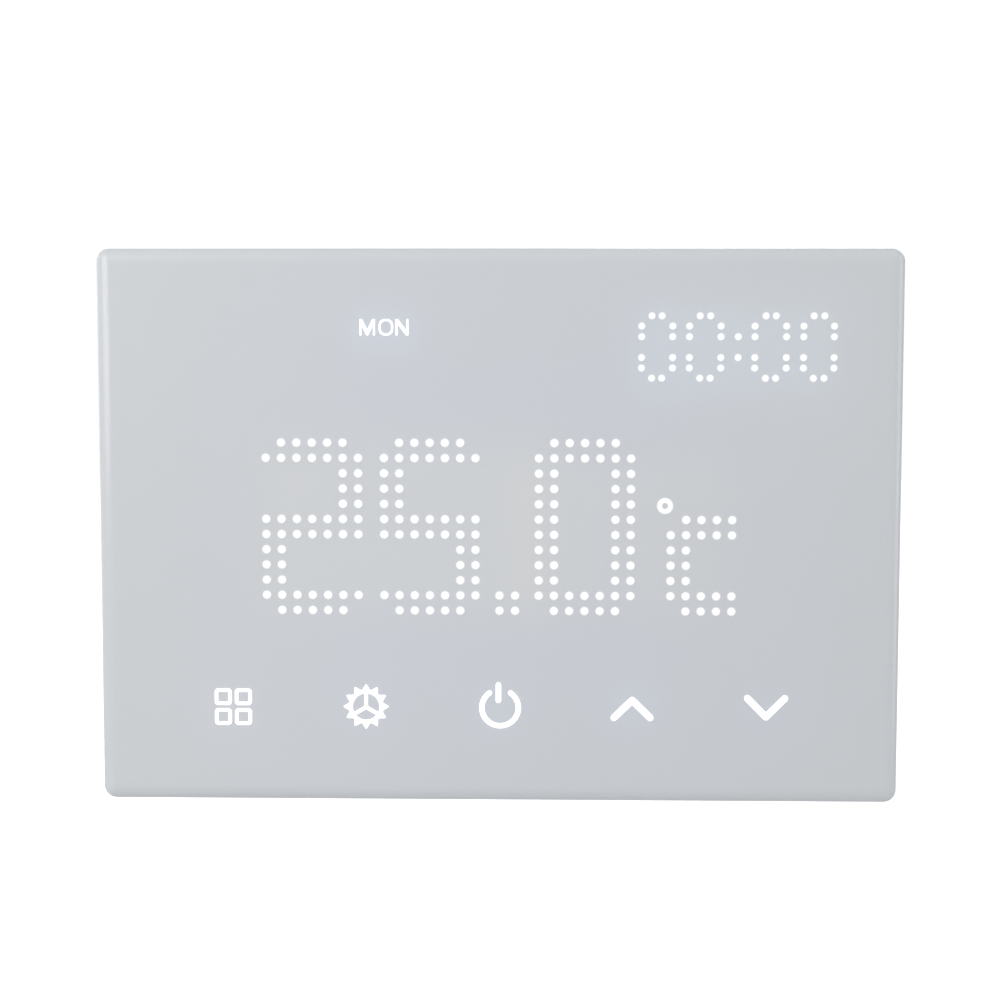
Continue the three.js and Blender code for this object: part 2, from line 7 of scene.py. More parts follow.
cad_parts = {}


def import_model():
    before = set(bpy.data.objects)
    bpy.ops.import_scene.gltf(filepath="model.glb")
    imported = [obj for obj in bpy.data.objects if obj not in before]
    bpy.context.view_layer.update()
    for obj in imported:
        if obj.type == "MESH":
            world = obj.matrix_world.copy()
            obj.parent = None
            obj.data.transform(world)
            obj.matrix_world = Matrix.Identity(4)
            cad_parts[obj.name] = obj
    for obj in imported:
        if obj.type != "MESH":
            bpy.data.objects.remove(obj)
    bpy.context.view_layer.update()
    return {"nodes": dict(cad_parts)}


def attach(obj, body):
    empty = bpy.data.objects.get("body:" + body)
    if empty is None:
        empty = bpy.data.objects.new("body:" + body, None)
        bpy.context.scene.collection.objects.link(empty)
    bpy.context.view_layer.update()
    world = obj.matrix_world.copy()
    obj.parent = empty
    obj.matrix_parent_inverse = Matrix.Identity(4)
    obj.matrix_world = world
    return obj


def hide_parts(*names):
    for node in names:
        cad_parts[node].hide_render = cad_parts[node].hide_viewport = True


MM = 0.001
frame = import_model()
NODES = frame["nodes"]

# ------------------------------------------------------------------ camera
CAM_D = 280.0                         # mm from the plane of the outline
CAM_YAW, CAM_PITCH, CAM_ROLL = 1.38, 4.58, 0.04
CAM_TARGET = Vector((0.22, -12.3, 4.08))


def camera():
    yaw, pitch, roll = (math.radians(a) for a in (CAM_YAW, CAM_PITCH, CAM_ROLL))
    back = Vector((math.sin(yaw) * math.cos(pitch), -math.cos(yaw) * math.cos(pitch), math.sin(pitch)))
    pos = CAM_TARGET + back * CAM_D
    data = bpy.data.cameras.new("camera")
    data.sensor_width = 36.0
    data.lens = 67.22
    data.clip_start = 0.01
    data.clip_end = 50
    cam = bpy.data.objects.new("camera", data)
    bpy.context.scene.collection.objects.link(cam)
    z = back.normalized()
    x = Vector((0, 0, 1)).cross(z).normalized()
    y = z.cross(x)
    rot = Matrix((x, y, z)).transposed().to_4x4()
    cam.matrix_world = Matrix.Translation(pos * MM) @ rot @ Matrix.Rotation(roll, 4, "Z")
    bpy.context.scene.camera = cam
    return pos


CAM_POS = camera()


def on_face(x, z, y=-14.0):
    """Centre of a display mark on the front face, from its place on the outline's plane."""
    t = (y - CAM_POS.y) / (CAM_TARGET.y - CAM_POS.y)
    return CAM_POS.x + (x - CAM_POS.x) * t, CAM_POS.z + (z - CAM_POS.z) * t


# ------------------------------------------------------------------ node helpers
class Nodes:
    """Small wrapper that makes shader node code short."""

    def __init__(self, tree):
        self.t = tree
        self.n = tree.nodes
        self.l = tree.links

    def put(self, kind, **kw):
        node = self.n.new(kind)
        for k, v in kw.items():
            setattr(node, k, v)
        return node

    def set(self, socket, value):
        if isinstance(value, bpy.types.NodeSocket):
            self.l.new(value, socket)
        elif value is not None:
            socket.default_value = value

    def math(self, op, a, b=None, c=None, clamp=False):
        node = self.put("ShaderNodeMath", operation=op, use_clamp=clamp)
        self.set(node.inputs[0], a)
        self.set(node.inputs[1], b)
        self.set(node.inputs[2], c)
        return node.outputs[0]

    def vec(self, op, a, b=None, scale=None):
        node = self.put("ShaderNodeVectorMath", operation=op)
        self.set(node.inputs[0], a)
        self.set(node.inputs[1], b)
        if scale is not None:
            self.set(node.inputs["Scale"], scale)
        return node.outputs["Value"] if op in ("LENGTH", "DISTANCE", "DOT_PRODUCT") else node.outputs["Vector"]

    def coords(self, kind="Object", scale=None, rotate=None):
        out = self.put("ShaderNodeTexCoord").outputs[kind]
        if scale is not None or rotate is not None:
            m = self.put("ShaderNodeMapping")
            self.set(m.inputs["Vector"], out)
            if scale is not None:
                m.inputs["Scale"].default_value = scale
            if rotate is not None:
                m.inputs["Rotation"].default_value = rotate
            out = m.outputs[0]
        return out

    def noise(self, vector, scale, detail=2.0, rough=0.5, dims="3D"):
        node = self.put("ShaderNodeTexNoise", noise_dimensions=dims)
        self.set(node.inputs["Vector"], vector)
        node.inputs["Scale"].default_value = scale
        node.inputs["Detail"].default_value = detail
        node.inputs["Roughness"].default_value = rough
        return node.outputs["Fac"]

    def voronoi(self, vector, scale, feature="F1", out="Distance", randomness=1.0):
        node = self.put("ShaderNodeTexVoronoi", feature=feature)
        self.set(node.inputs["Vector"], vector)
        node.inputs["Scale"].default_value = scale
        node.inputs["Randomness"].default_value = randomness
        return node.outputs[out]

    def ramp(self, fac, stops, mode="LINEAR"):
        node = self.put("ShaderNodeValToRGB")
        node.color_ramp.interpolation = mode
        els = node.color_ramp.elements
        while len(els) < len(stops):
            els.new(0.5)
        for e, (p, c) in zip(els, stops):
            e.position = p
            e.color = c if len(c) == 4 else (*c, 1)
        self.set(node.inputs[0], fac)
        return node.outputs[0]

    def mapr(self, v, a, b, c=0.0, d=1.0, smooth=False):
        node = self.put("ShaderNodeMapRange")
        node.interpolation_type = "SMOOTHSTEP" if smooth else "LINEAR"
        node.clamp = True
        self.set(node.inputs["Value"], v)
        node.inputs["From Min"].default_value = a
        node.inputs["From Max"].default_value = b
        node.inputs["To Min"].default_value = c
        node.inputs["To Max"].default_value = d
        return node.outputs[0]

    def mix(self, fac, a, b, blend="MIX"):
        node = self.put("ShaderNodeMix", data_type="RGBA", blend_type=blend)
        self.set(node.inputs[0], fac)
        self.set(node.inputs[6], a if isinstance(a, bpy.types.NodeSocket) else (*a, 1)[:4])
        self.set(node.inputs[7], b if isinstance(b, bpy.types.NodeSocket) else (*b, 1)[:4])
        return node.outputs[2]

    def bump(self, height, strength=0.2, distance=0.0001, normal=None):
        node = self.put("ShaderNodeBump")
        node.inputs["Strength"].default_value = strength
        node.inputs["Distance"].default_value = distance
        self.set(node.inputs["Height"], height)
        self.set(node.inputs["Normal"], normal)
        return node.outputs[0]

    def xyz(self, v):
        node = self.put("ShaderNodeSeparateXYZ")
        self.set(node.inputs[0], v)
        return node.outputs[0], node.outputs[1], node.outputs[2]

    def join(self, x, y, z):
        node = self.put("ShaderNodeCombineXYZ")
        for s, v in zip(node.inputs, (x, y, z)):
            self.set(s, v)
        return node.outputs[0]


def material(name, build, **sockets):
    """Principled material; build(k, bsdf) adds the procedural part, sockets are set directly."""
    m = bpy.data.materials.new(name)
    m.use_nodes = True
    k = Nodes(m.node_tree)
    bsdf = next(n for n in m.node_tree.nodes if n.type == "BSDF_PRINCIPLED")
    for key, v in sockets.items():
        key = key.replace("_", " ")
        if isinstance(v, tuple) and len(v) == 3:
            v = (*v, 1)
        bsdf.inputs[key].default_value = v
    if build:
        build(k, bsdf)
    return m


def srgb(r, g, b):
    f = lambda c: (c / 255 / 12.92) if c / 255 <= 0.04045 else ((c / 255 + 0.055) / 1.055) ** 2.4
    return (f(r), f(g), f(b))


def moulded(name, rgb, rough=0.45, grain=0.25, grain_mm=0.35, coat=0.0, var=0.04, spec=0.5, coat_rough=0.1):
    """Injection-moulded plastic: fine spark texture, faint flow mottling."""
    base = srgb(*rgb)

    def build(k, b):
        c = k.coords()
        big = k.noise(c, 90, 3, 0.55)
        col = k.mix(k.mapr(big, 0.3, 0.7), tuple(x * (1 - var) for x in base), tuple(min(1, x * (1 + var)) for x in base))
        k.set(b.inputs["Base Color"], col)
        fine = k.noise(c, 1000 / grain_mm, 2, 0.6)
        k.set(b.inputs["Roughness"], k.mapr(k.noise(c, 260, 2), 0.3, 0.7, rough * 0.9, min(1, rough * 1.12)))
        k.set(b.inputs["Normal"], k.bump(fine, grain, 0.00002))

    return material(name, build, Specular_IOR_Level=spec, Coat_Weight=coat, Coat_Roughness=coat_rough)


def plated(name, rgb, rough=0.3, var=0.08, scratch=0.15):
    """Plated or bare metal with fine drawn scratches and slight tarnish."""
    base = srgb(*rgb)

    def build(k, b):
        c = k.coords()
        tarnish = k.noise(c, 420, 4, 0.6)
        col = k.mix(k.mapr(tarnish, 0.35, 0.7), base, tuple(x * (1 - var * 2.2) for x in base))
        k.set(b.inputs["Base Color"], col)
        k.set(b.inputs["Roughness"], k.mapr(k.noise(c, 900, 3), 0.3, 0.7, rough * 0.75, rough * 1.3))
        lines = k.noise(k.coords(scale=(1, 9, 1)), 1400, 2, 0.6)
        k.set(b.inputs["Normal"], k.bump(lines, scratch, 0.00001))

    return material(name, build, Metallic=1.0)


# ------------------------------------------------------------------ mesh helpers
def make(name, verts, faces, body, mats, slot=None, smooth=None, replaces=(), face_mat=None):
    """Mesh from millimetre vertices, riding on a body. smooth is an angle in degrees or None for flat."""
    me = bpy.data.meshes.new(name)
    me.from_pydata([tuple(c * MM for c in v) for v in verts], [], faces)
    me.validate()
    bm = bmesh.new()
    bm.from_mesh(me)
    bmesh.ops.recalc_face_normals(bm, faces=bm.faces)
    bm.to_mesh(me)
    bm.free()
    for m in (mats if isinstance(mats, (list, tuple)) else [mats]):
        me.materials.append(m)
    if face_mat:
        me.polygons.foreach_set("material_index", face_mat)
    ob = bpy.data.objects.new(name, me)
    bpy.context.scene.collection.objects.link(ob)
    if smooth is not None:
        shade(ob, smooth)
    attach(ob, body)
    if replaces:
        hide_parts(*replaces)
    return ob


def shade(ob, angle=35):
    me = ob.data
    for p in me.polygons:
        p.use_smooth = True
    bm = bmesh.new()
    bm.from_mesh(me)
    lim = math.radians(angle)
    for e in bm.edges:
        e.smooth = not (len(e.link_faces) == 2 and e.calc_face_angle(0) > lim)
    bm.to_mesh(me)
    bm.free()


class Mesh:
    """Collects closed solids, in millimetres, into one mesh."""

    def __init__(self):
        self.v, self.f, self.m = [], [], []

    def add(self, verts, faces, mat=0):
        o = len(self.v)
        self.v += [tuple(p) for p in verts]
        self.f += [[i + o for i in f] for f in faces]
        self.m += [mat] * len(faces)

    def prism(self, outline, y0, y1, mat=0, bevel=0.0, back=True):
        """Outline in X-Z pulled from y1 to y0 (y0 is the front), front edge bevelled."""
        n = len(outline)
        rings = [(y1, 0.0), (y0 + bevel, 0.0)] + ([(y0, bevel)] if bevel else [])
        pts = []
        cx = sum(p[0] for p in outline) / n
        cz = sum(p[1] for p in outline) / n
        for y, inset in rings:
            for x, z in outline:
                if inset:
                    d = math.hypot(x - cx, z - cz) or 1
                    x, z = x - (x - cx) / d * inset, z - (z - cz) / d * inset
                pts.append((x, y, z))
        faces = []
        for r in range(len(rings) - 1):
            for i in range(n):
                j = (i + 1) % n
                faces.append([r * n + i, r * n + j, (r + 1) * n + j, (r + 1) * n + i])
        faces.append([i + (len(rings) - 1) * n for i in range(n)])
        if back:
            faces.append(list(range(n))[::-1])
        self.add(pts, faces, mat)

    def box(self, x0, x1, y0, y1, z0, z1, mat=0, bevel=0.0):
        if bevel <= 0:
            v = [(x, y, z) for x in (x0, x1) for y in (y0, y1) for z in (z0, z1)]
            f = [[0, 1, 3, 2], [4, 6, 7, 5], [0, 4, 5, 1], [2, 3, 7, 6], [0, 2, 6, 4], [1, 5, 7, 3]]
            self.add(v, f, mat)
            return
        bm = bmesh.new()
        bmesh.ops.create_cube(bm, size=1.0)
        for v in bm.verts:
            v.co = ((x0 + x1) / 2 + v.co.x * (x1 - x0), (y0 + y1) / 2 + v.co.y * (y1 - y0), (z0 + z1) / 2 + v.co.z * (z1 - z0))
        b = min(bevel, 0.45 * min(x1 - x0, y1 - y0, z1 - z0))
        bmesh.ops.bevel(bm, geom=list(bm.edges), offset=b, segments=2, profile=0.6, affect="EDGES")
        bm.verts.index_update()
        self.add([v.co[:] for v in bm.verts], [[v.index for v in f.verts] for f in bm.faces], mat)
        bm.free()

    def revolve(self, profile, centre, axis="Y", seg=24, mat=0):
        """Profile [(r, t)...] from the axis back to the axis, turned about an axis through centre."""
        pts, faces, rings = [], [], []
        for r, t in profile:
            if r < 1e-6:
                rings.append([len(pts)])
                pts.append((0.0, t, 0.0))
            else:
                ring = []
                for i in range(seg):
                    a = 2 * math.pi * i / seg
                    ring.append(len(pts))
                    pts.append((r * math.cos(a), t, r * math.sin(a)))
                rings.append(ring)
        for a, b in zip(rings, rings[1:]):
            for i in range(seg):
                j = (i + 1) % seg
                if len(a) == 1 and len(b) == 1:
                    continue
                if len(a) == 1:
                    faces.append([a[0], b[j], b[i]])
                elif len(b) == 1:
                    faces.append([a[i], a[j], b[0]])
                else:
                    faces.append([a[i], a[j], b[j], b[i]])
        cx, cy, cz = centre
        out = []
        for x, y, z in pts:
            if axis == "Y":
                out.append((cx + x, cy + y, cz + z))
            elif axis == "Z":
                out.append((cx + x, cy - z, cz + y))
            else:
                out.append((cx + y, cy - x, cz + z))
        self.add(out, faces, mat)

    def done(self, name, body, mats, **kw):
        return make(name, self.v, self.f, body, mats, face_mat=self.m if any(self.m) else None, **kw)


def rounded(w, h, r, n=8, cx=0.0, cz=0.0):
    """Rounded rectangle, counter-clockwise in X-Z."""
    pts = []
    r = max(r, 1e-4)
    for sx, sz, a0 in ((1, -1, -90), (1, 1, 0), (-1, 1, 90), (-1, -1, 180)):
        ox, oz = cx + sx * (w / 2 - r), cz + sz * (h / 2 - r)
        for i in range(n + 1):
            a = math.radians(a0 + 90 * i / n)
            pts.append((ox + r * math.cos(a), oz + r * math.sin(a)))
    return pts


def circle(cx, cz, r, n=20, a0=0.0):
    return [(cx + r * math.cos(a0 + 2 * math.pi * i / n), cz + r * math.sin(a0 + 2 * math.pi * i / n)) for i in range(n)]


def loft(rings, close_back=True, close_front=True):
    """rings: list of lists of (x, y, z), same length."""
    n = len(rings[0])
    v = [p for r in rings for p in r]
    f = []
    for k in range(len(rings) - 1):
        for i in range(n):
            j = (i + 1) % n
            f.append([k * n + i, k * n + j, (k + 1) * n + j, (k + 1) * n + i])
    if close_back:
        f.append(list(range(n)))
    if close_front:
        f.append([(len(rings) - 1) * n + i for i in range(n)])
    return v, f


# ------------------------------------------------------------------ studio
def studio():
    scene = bpy.context.scene
    scene.view_settings.view_transform = "Standard"
    scene.view_settings.look = "None"
    world = bpy.data.worlds.new("studio")
    scene.world = world
    world.use_nodes = True
    k = Nodes(world.node_tree)
    for n in list(k.n):
        k.n.remove(n)
    out = k.put("ShaderNodeOutputWorld")
    # soft room: brighter from the upper left and front, darker low and to the right
    d = k.put("ShaderNodeTexCoord").outputs["Generated"]
    x, y, z = k.xyz(d)
    left = k.mapr(x, -1.0, 1.0, 1.01, 0.97)
    up = k.mapr(z, -1.0, 1.0, 0.93, 1.05)
    ahead = k.mapr(y, -0.10, 0.60, 1.0, 0.74, smooth=True)
    level = k.math("MULTIPLY", k.math("MULTIPLY", left, up), ahead)
    soft = k.put("ShaderNodeBackground")
    k.set(soft.inputs["Color"], k.mix(1.0, k.join(level, level, level), (0.985, 0.992, 1.0), "MULTIPLY"))
    soft.inputs["Strength"].default_value = 0.750
    white = k.put("ShaderNodeBackground")
    white.inputs["Color"].default_value = (1, 1, 1, 1)
    white.inputs["Strength"].default_value = 1.02
    path = k.put("ShaderNodeLightPath").outputs["Is Camera Ray"]
    mix = k.put("ShaderNodeMixShader")
    k.set(mix.inputs[0], path)
    k.set(mix.inputs[1], soft.outputs[0])
    k.set(mix.inputs[2], white.outputs[0])
    k.set(out.inputs[0], mix.outputs[0])

    # pale floor, well below the part
    me = bpy.data.meshes.new("floor")
    n, size = 24, 14.0
    vs = [((i / n - 0.5) * size, (j / n - 0.5) * size, 0.0) for j in range(n + 1) for i in range(n + 1)]
    fs = [(j * (n + 1) + i, j * (n + 1) + i + 1, (j + 1) * (n + 1) + i + 1, (j + 1) * (n + 1) + i) for j in range(n) for i in range(n)]
    me.from_pydata(vs, [], fs)
    floor = bpy.data.objects.new("floor", me)
    floor.location = (0, 0, -0.48)
    scene.collection.objects.link(floor)

    def pale(k, b):
        c = k.coords()
        seen = k.put("ShaderNodeLightPath").outputs["Is Camera Ray"]
        k.set(b.inputs["Base Color"], k.mix(seen, (0.81, 0.81, 0.82), k.mix(k.noise(c, 6, 3), (0.90, 0.90, 0.905), (0.93, 0.93, 0.93))))
        k.set(b.inputs["Emission Strength"], k.math("MULTIPLY", seen, 0.66))

    fm = material("floor_pale", pale, Roughness=0.85, Specular_IOR_Level=0.2, Emission_Color=(1.0, 1.0, 1.0))
    me.materials.append(fm)

    def area(name, loc, target, size, power, color=(1, 1, 1), size_y=None):
        data = bpy.data.lights.new(name, "AREA")
        data.shape = "RECTANGLE"
        data.size = size
        data.size_y = size_y or size
        data.energy = power
        data.color = color
        ob = bpy.data.objects.new(name, data)
        ob.location = loc
        ob.rotation_euler = (Vector(target) - Vector(loc)).to_track_quat("-Z", "Y").to_euler()
        scene.collection.objects.link(ob)
        return ob

    area("key_left", (-0.31, -0.34, 0.17), (0, 0, 0), 0.26, 1.10, (1.0, 0.985, 0.955), 0.40)
    area("edge_right", (0.50, -0.12, 0.06), (0, 0, 0), 0.22, 0.50, (1.0, 1.0, 1.0), 0.40)
    area("rear_fill", (0.35, 0.75, 0.45), (0, 0.01, 0), 0.7, 1.8, (1.0, 1.0, 1.0), 0.5)
    area("rear_left", (-0.6, 0.45, 0.10), (0, 0.01, 0), 0.5, 0.7, (1.0, 1.0, 1.0), 0.5)


studio()

# ------------------------------------------------------------------ materials
FACE_Y = -13.97

GLOWS = [  # centre x, z, half width, half height, softness (mm), colour gain r, g, b
    (35.5, 26.6, 11.0, 3.0, 11.0, (0.020, 0.034, 0.050)),
    (-17.0, 29.6, 2.2, 0.6, 7.5, (0.018, 0.024, 0.046)),
    (-14.0, 0.0, 17.0, 8.0, 11.0, (0.022, 0.018, 0.002)),
    (18.0, -1.0, 12.0, 7.0, 10.0, (0.018, 0.014, -0.004)),
    (0.0, 0.0, 18.0, 18.0, 40.0, (-0.004, 0.002, 0.020)),
    (-40.35, -27.3, 0.6, 0.6, 8.5, (0.012, 0.016, 0.022)),
    (-20.2, -27.3, 0.6, 0.6, 8.5, (0.012, 0.016, 0.024)),
    (0.1, -27.3, 0.6, 0.6, 8.5, (0.012, 0.018, 0.028)),
    (20.14, -27.3, 0.6, 0.6, 8.5, (0.010, 0.018, 0.030)),
    (40.36, -27.3, 0.6, 0.6, 8.5, (0.004, 0.010, 0.028)),
]


def panel_base(k, b):
    c = k.coords()
    px, py, pz = k.xyz(c)
    x = k.math("MULTIPLY", px, 1000.0)
    z = k.math("MULTIPLY", pz, 1000.0)
    glow = None
    for cx, cz, hw, hh, reach, gain in GLOWS:
        dx = k.math("MAXIMUM", k.math("SUBTRACT", k.math("ABSOLUTE", k.math("SUBTRACT", x, cx)), hw), 0.0)
        dz = k.math("MAXIMUM", k.math("SUBTRACT", k.math("ABSOLUTE", k.math("SUBTRACT", z, cz)), hh), 0.0)
        d = k.math("SQRT", k.math("ADD", k.math("MULTIPLY", dx, dx), k.math("MULTIPLY", dz, dz)))
        q = k.math("DIVIDE", d, reach * 0.5)
        f = k.math("POWER", 2.71828, k.math("MULTIPLY", k.math("MULTIPLY", q, q), -1.0))
        g = k.mix(f, (0, 0, 0), gain)
        glow = g if glow is None else k.mix(1.0, glow, g, "ADD")
    base = srgb(200, 203, 206.5)
    mottle = k.noise(c, 14, 2, 0.5)
    col = k.mix(k.mapr(mottle, 0.3, 0.7), tuple(v * 0.992 for v in base), tuple(v * 1.008 for v in base))
    k.set(b.inputs["Base Color"], col)
    front = k.mapr(k.math("MULTIPLY", py, -1000.0), 13.4, 13.9)
    k.set(b.inputs["Emission Color"], k.mix(front, (0, 0, 0), glow))
    b.inputs["Emission Strength"].default_value = 1.0
    k.set(b.inputs["Roughness"], k.mapr(k.noise(c, 1800, 2), 0.3, 0.7, 0.256, 0.270))
    k.set(b.inputs["Normal"], k.bump(k.noise(c, 2600, 2, 0.6), 0.015, 0.00001))
    return glow


PANEL = material("panel_milky", panel_base, Specular_IOR_Level=0.42, Coat_Weight=0.25, Coat_Roughness=0.12,
                 Subsurface_Weight=0.0)


def lit(name, strength, edge=None, tint=(1.0, 1.0, 1.0)):
    """Light from a display mark; the attribute lit is 1 inside the mark and 0 where it meets the panel."""
    m = bpy.data.materials.new(name)
    m.use_nodes = True
    k = Nodes(m.node_tree)
    b = next(n for n in m.node_tree.nodes if n.type == "BSDF_PRINCIPLED")
    glow = panel_base(k, b)
    b.inputs["Specular IOR Level"].default_value = 0.42
    b.inputs["Coat Weight"].default_value = 0.25
    b.inputs["Coat Roughness"].default_value = 0.12
    a = k.put("ShaderNodeAttribute", attribute_name="lit").outputs["Fac"]
    f = k.mapr(a, 0.0, 1.0, 0.0, 1.0, smooth=True)
    grain = k.mapr(k.noise(k.coords(), 5200, 2), 0.3, 0.7, 0.96, 1.04)
    core = k.math("MULTIPLY", f, grain)
    k.set(b.inputs["Emission Color"], k.mix(1.0, glow, k.mix(core, (0, 0, 0), tuple(t * strength for t in tint)), "ADD"))
    return m


LIT_DOT = lit("led_light", 0.62)
LIT_ICON = lit("icon_light", 0.72, tint=(0.99, 0.995, 1.0))


# ------------------------------------------------------------------ front panel
def touch_panel():
    w, h, r = 120.0, 83.0, 1.9
    a, b = 2.3, 1.52
    rings = []

    def ring(e, y, n=10):
        return [(x, y, z) for x, z in rounded(w - 2 * e, h - 2 * e, max(r - e, 0.12), n)]

    rings.append(ring(0.5, -11.8))
    rings.append(ring(0.25, -11.8))
    rings.append(ring(0.0, -12.02))
    steps = 12
    for i in range(steps + 1):
        t = math.pi / 2 * i / steps
        rings.append(ring(a * (1 - math.cos(t)), -12.45 - b * math.sin(t)))
    rings.append(ring(a + 0.35, FACE_Y))
    v, f = loft(rings)
    ob = make("touch_panel", v, f, "front_unit", PANEL, slot="panel", smooth=32, replaces=("front_panel",))
    return ob


touch_panel()


# ------------------------------------------------------------------ display marks
MARK_Y = -13.99


def disc(mesh, attr, cx, cz, r, halo, n=20, hole=0.0):
    """Lit disc: full inside r, fading to nothing at halo."""
    levels = [(r * 0.70, 1.0), (r * 0.98, 0.50), (halo, 0.0)]
    base = len(mesh.v)
    pts, faces, val = [], [], []
    if hole > 0:
        ring0 = [(hole * 1.16, 1.0)]
        inner = [(hole * 0.55, 0.0), (hole * 0.86, 0.45)]
        prof = inner + ring0 + levels
    else:
        prof = levels
    for rr, a in prof:
        for x, z in circle(cx, cz, rr, n):
            pts.append((x, MARK_Y, z))
            val.append(a)
    back0 = len(pts)
    for x, z in circle(cx, cz, prof[-1][0], n):
        pts.append((x, FACE_Y + 0.012, z))
        val.append(0.0)
    c0 = len(pts)
    pts.append((cx, MARK_Y, cz))
    val.append(0.0 if hole else 1.0)
    for i in range(n):
        j = (i + 1) % n
        faces.append([c0, i, j])
        for q in range(len(prof) - 1):
            faces.append([q * n + i, (q + 1) * n + i, (q + 1) * n + j, q * n + j])
        q = len(prof) - 1
        faces.append([q * n + i, back0 + i, back0 + j, q * n + j])
    faces.append([back0 + i for i in range(n)])
    mesh.add(pts, faces)
    attr += val


def finish_lit(mesh, attr, name, mat):
    ob = mesh.done(name, "front_unit", mat, slot="display_light")
    at = ob.data.attributes.new("lit", "FLOAT", "POINT")
    at.data.foreach_set("value", attr)
    return ob


def stroke(mesh, attr, pts, width, closed=False, rnd=7):
    """A lit line of even width with round ends and round outer corners along pts (X-Z, millimetres)."""
    hw = width / 2
    n = len(pts)
    left, right = [], []
    for i, (x, z) in enumerate(pts):
        if closed:
            a, b = pts[i - 1], pts[(i + 1) % n]
        else:
            a, b = pts[max(i - 1, 0)], pts[min(i + 1, n - 1)]
        d1 = Vector((x - a[0], z - a[1]))
        d2 = Vector((b[0] - x, b[1] - z))
        if d1.length < 1e-9:
            d1 = d2
        if d2.length < 1e-9:
            d2 = d1
        d1, d2 = d1.normalized(), d2.normalized()
        t = (d1 + d2)
        t = t.normalized() if t.length > 1e-6 else d1
        nrm = Vector((-t.y, t.x))
        k = 1.0 / max(0.35, nrm.dot(Vector((-d1.y, d1.x))))
        turn = d1.x * d2.y - d1.y * d2.x
        if closed or abs(turn) < 0.3:
            left.append((x + nrm.x * hw * k, z + nrm.y * hw * k))
            right.append((x - nrm.x * hw * k, z - nrm.y * hw * k))
            continue
        a0 = math.atan2(d1.x, -d1.y)
        sweep = math.atan2(turn, d1.dot(d2))
        arc = [a0 + sweep * q / rnd for q in range(rnd + 1)]
        if turn > 0:      # bends left: the right side is the outside
            left.append((x + nrm.x * hw * k, z + nrm.y * hw * k))
            right += [(x - hw * math.cos(q), z - hw * math.sin(q)) for q in arc]
        else:
            right.append((x - nrm.x * hw * k, z - nrm.y * hw * k))
            left += [(x + hw * math.cos(q), z + hw * math.sin(q)) for q in arc]
    if closed:
        band(mesh, attr, left, right)
        return

    def cap(p, d):
        base = math.atan2(d[1], d[0]) + math.pi / 2
        return [(p[0] + hw * math.cos(base - math.pi * q / rnd), p[1] + hw * math.sin(base - math.pi * q / rnd)) for q in range(1, rnd)]

    d_end = (pts[-1][0] - pts[-2][0], pts[-1][1] - pts[-2][1])
    d_start = (pts[0][0] - pts[1][0], pts[0][1] - pts[1][1])
    plate(mesh, attr, left + cap(pts[-1], d_end) + right[::-1] + cap(pts[0], d_start))


def plate(mesh, attr, outline):
    n = len(outline)
    pts = [(x, MARK_Y, z) for x, z in outline] + [(x, FACE_Y + 0.012, z) for x, z in outline]
    faces = [list(range(n)), [n + i for i in range(n)][::-1]]
    for i in range(n):
        j = (i + 1) % n
        faces.append([i, j, n + j, n + i])
    mesh.add(pts, faces)
    attr += [1.0] * len(pts)


def band(mesh, attr, outer, inner):
    n = len(outer)
    pts = []
    for y in (MARK_Y, FACE_Y + 0.012):
        pts += [(x, y, z) for x, z in outer] + [(x, y, z) for x, z in inner]
    faces = []
    for i in range(n):
        j = (i + 1) % n
        faces.append([i, j, n + j, n + i])
        faces.append([2 * n + i, 2 * n + j, 3 * n + j, 3 * n + i])
        faces.append([i, j, 2 * n + j, 2 * n + i])
        faces.append([n + i, n + j, 3 * n + j, 3 * n + i])
    mesh.add(pts, faces)
    attr += [1.0] * len(pts)


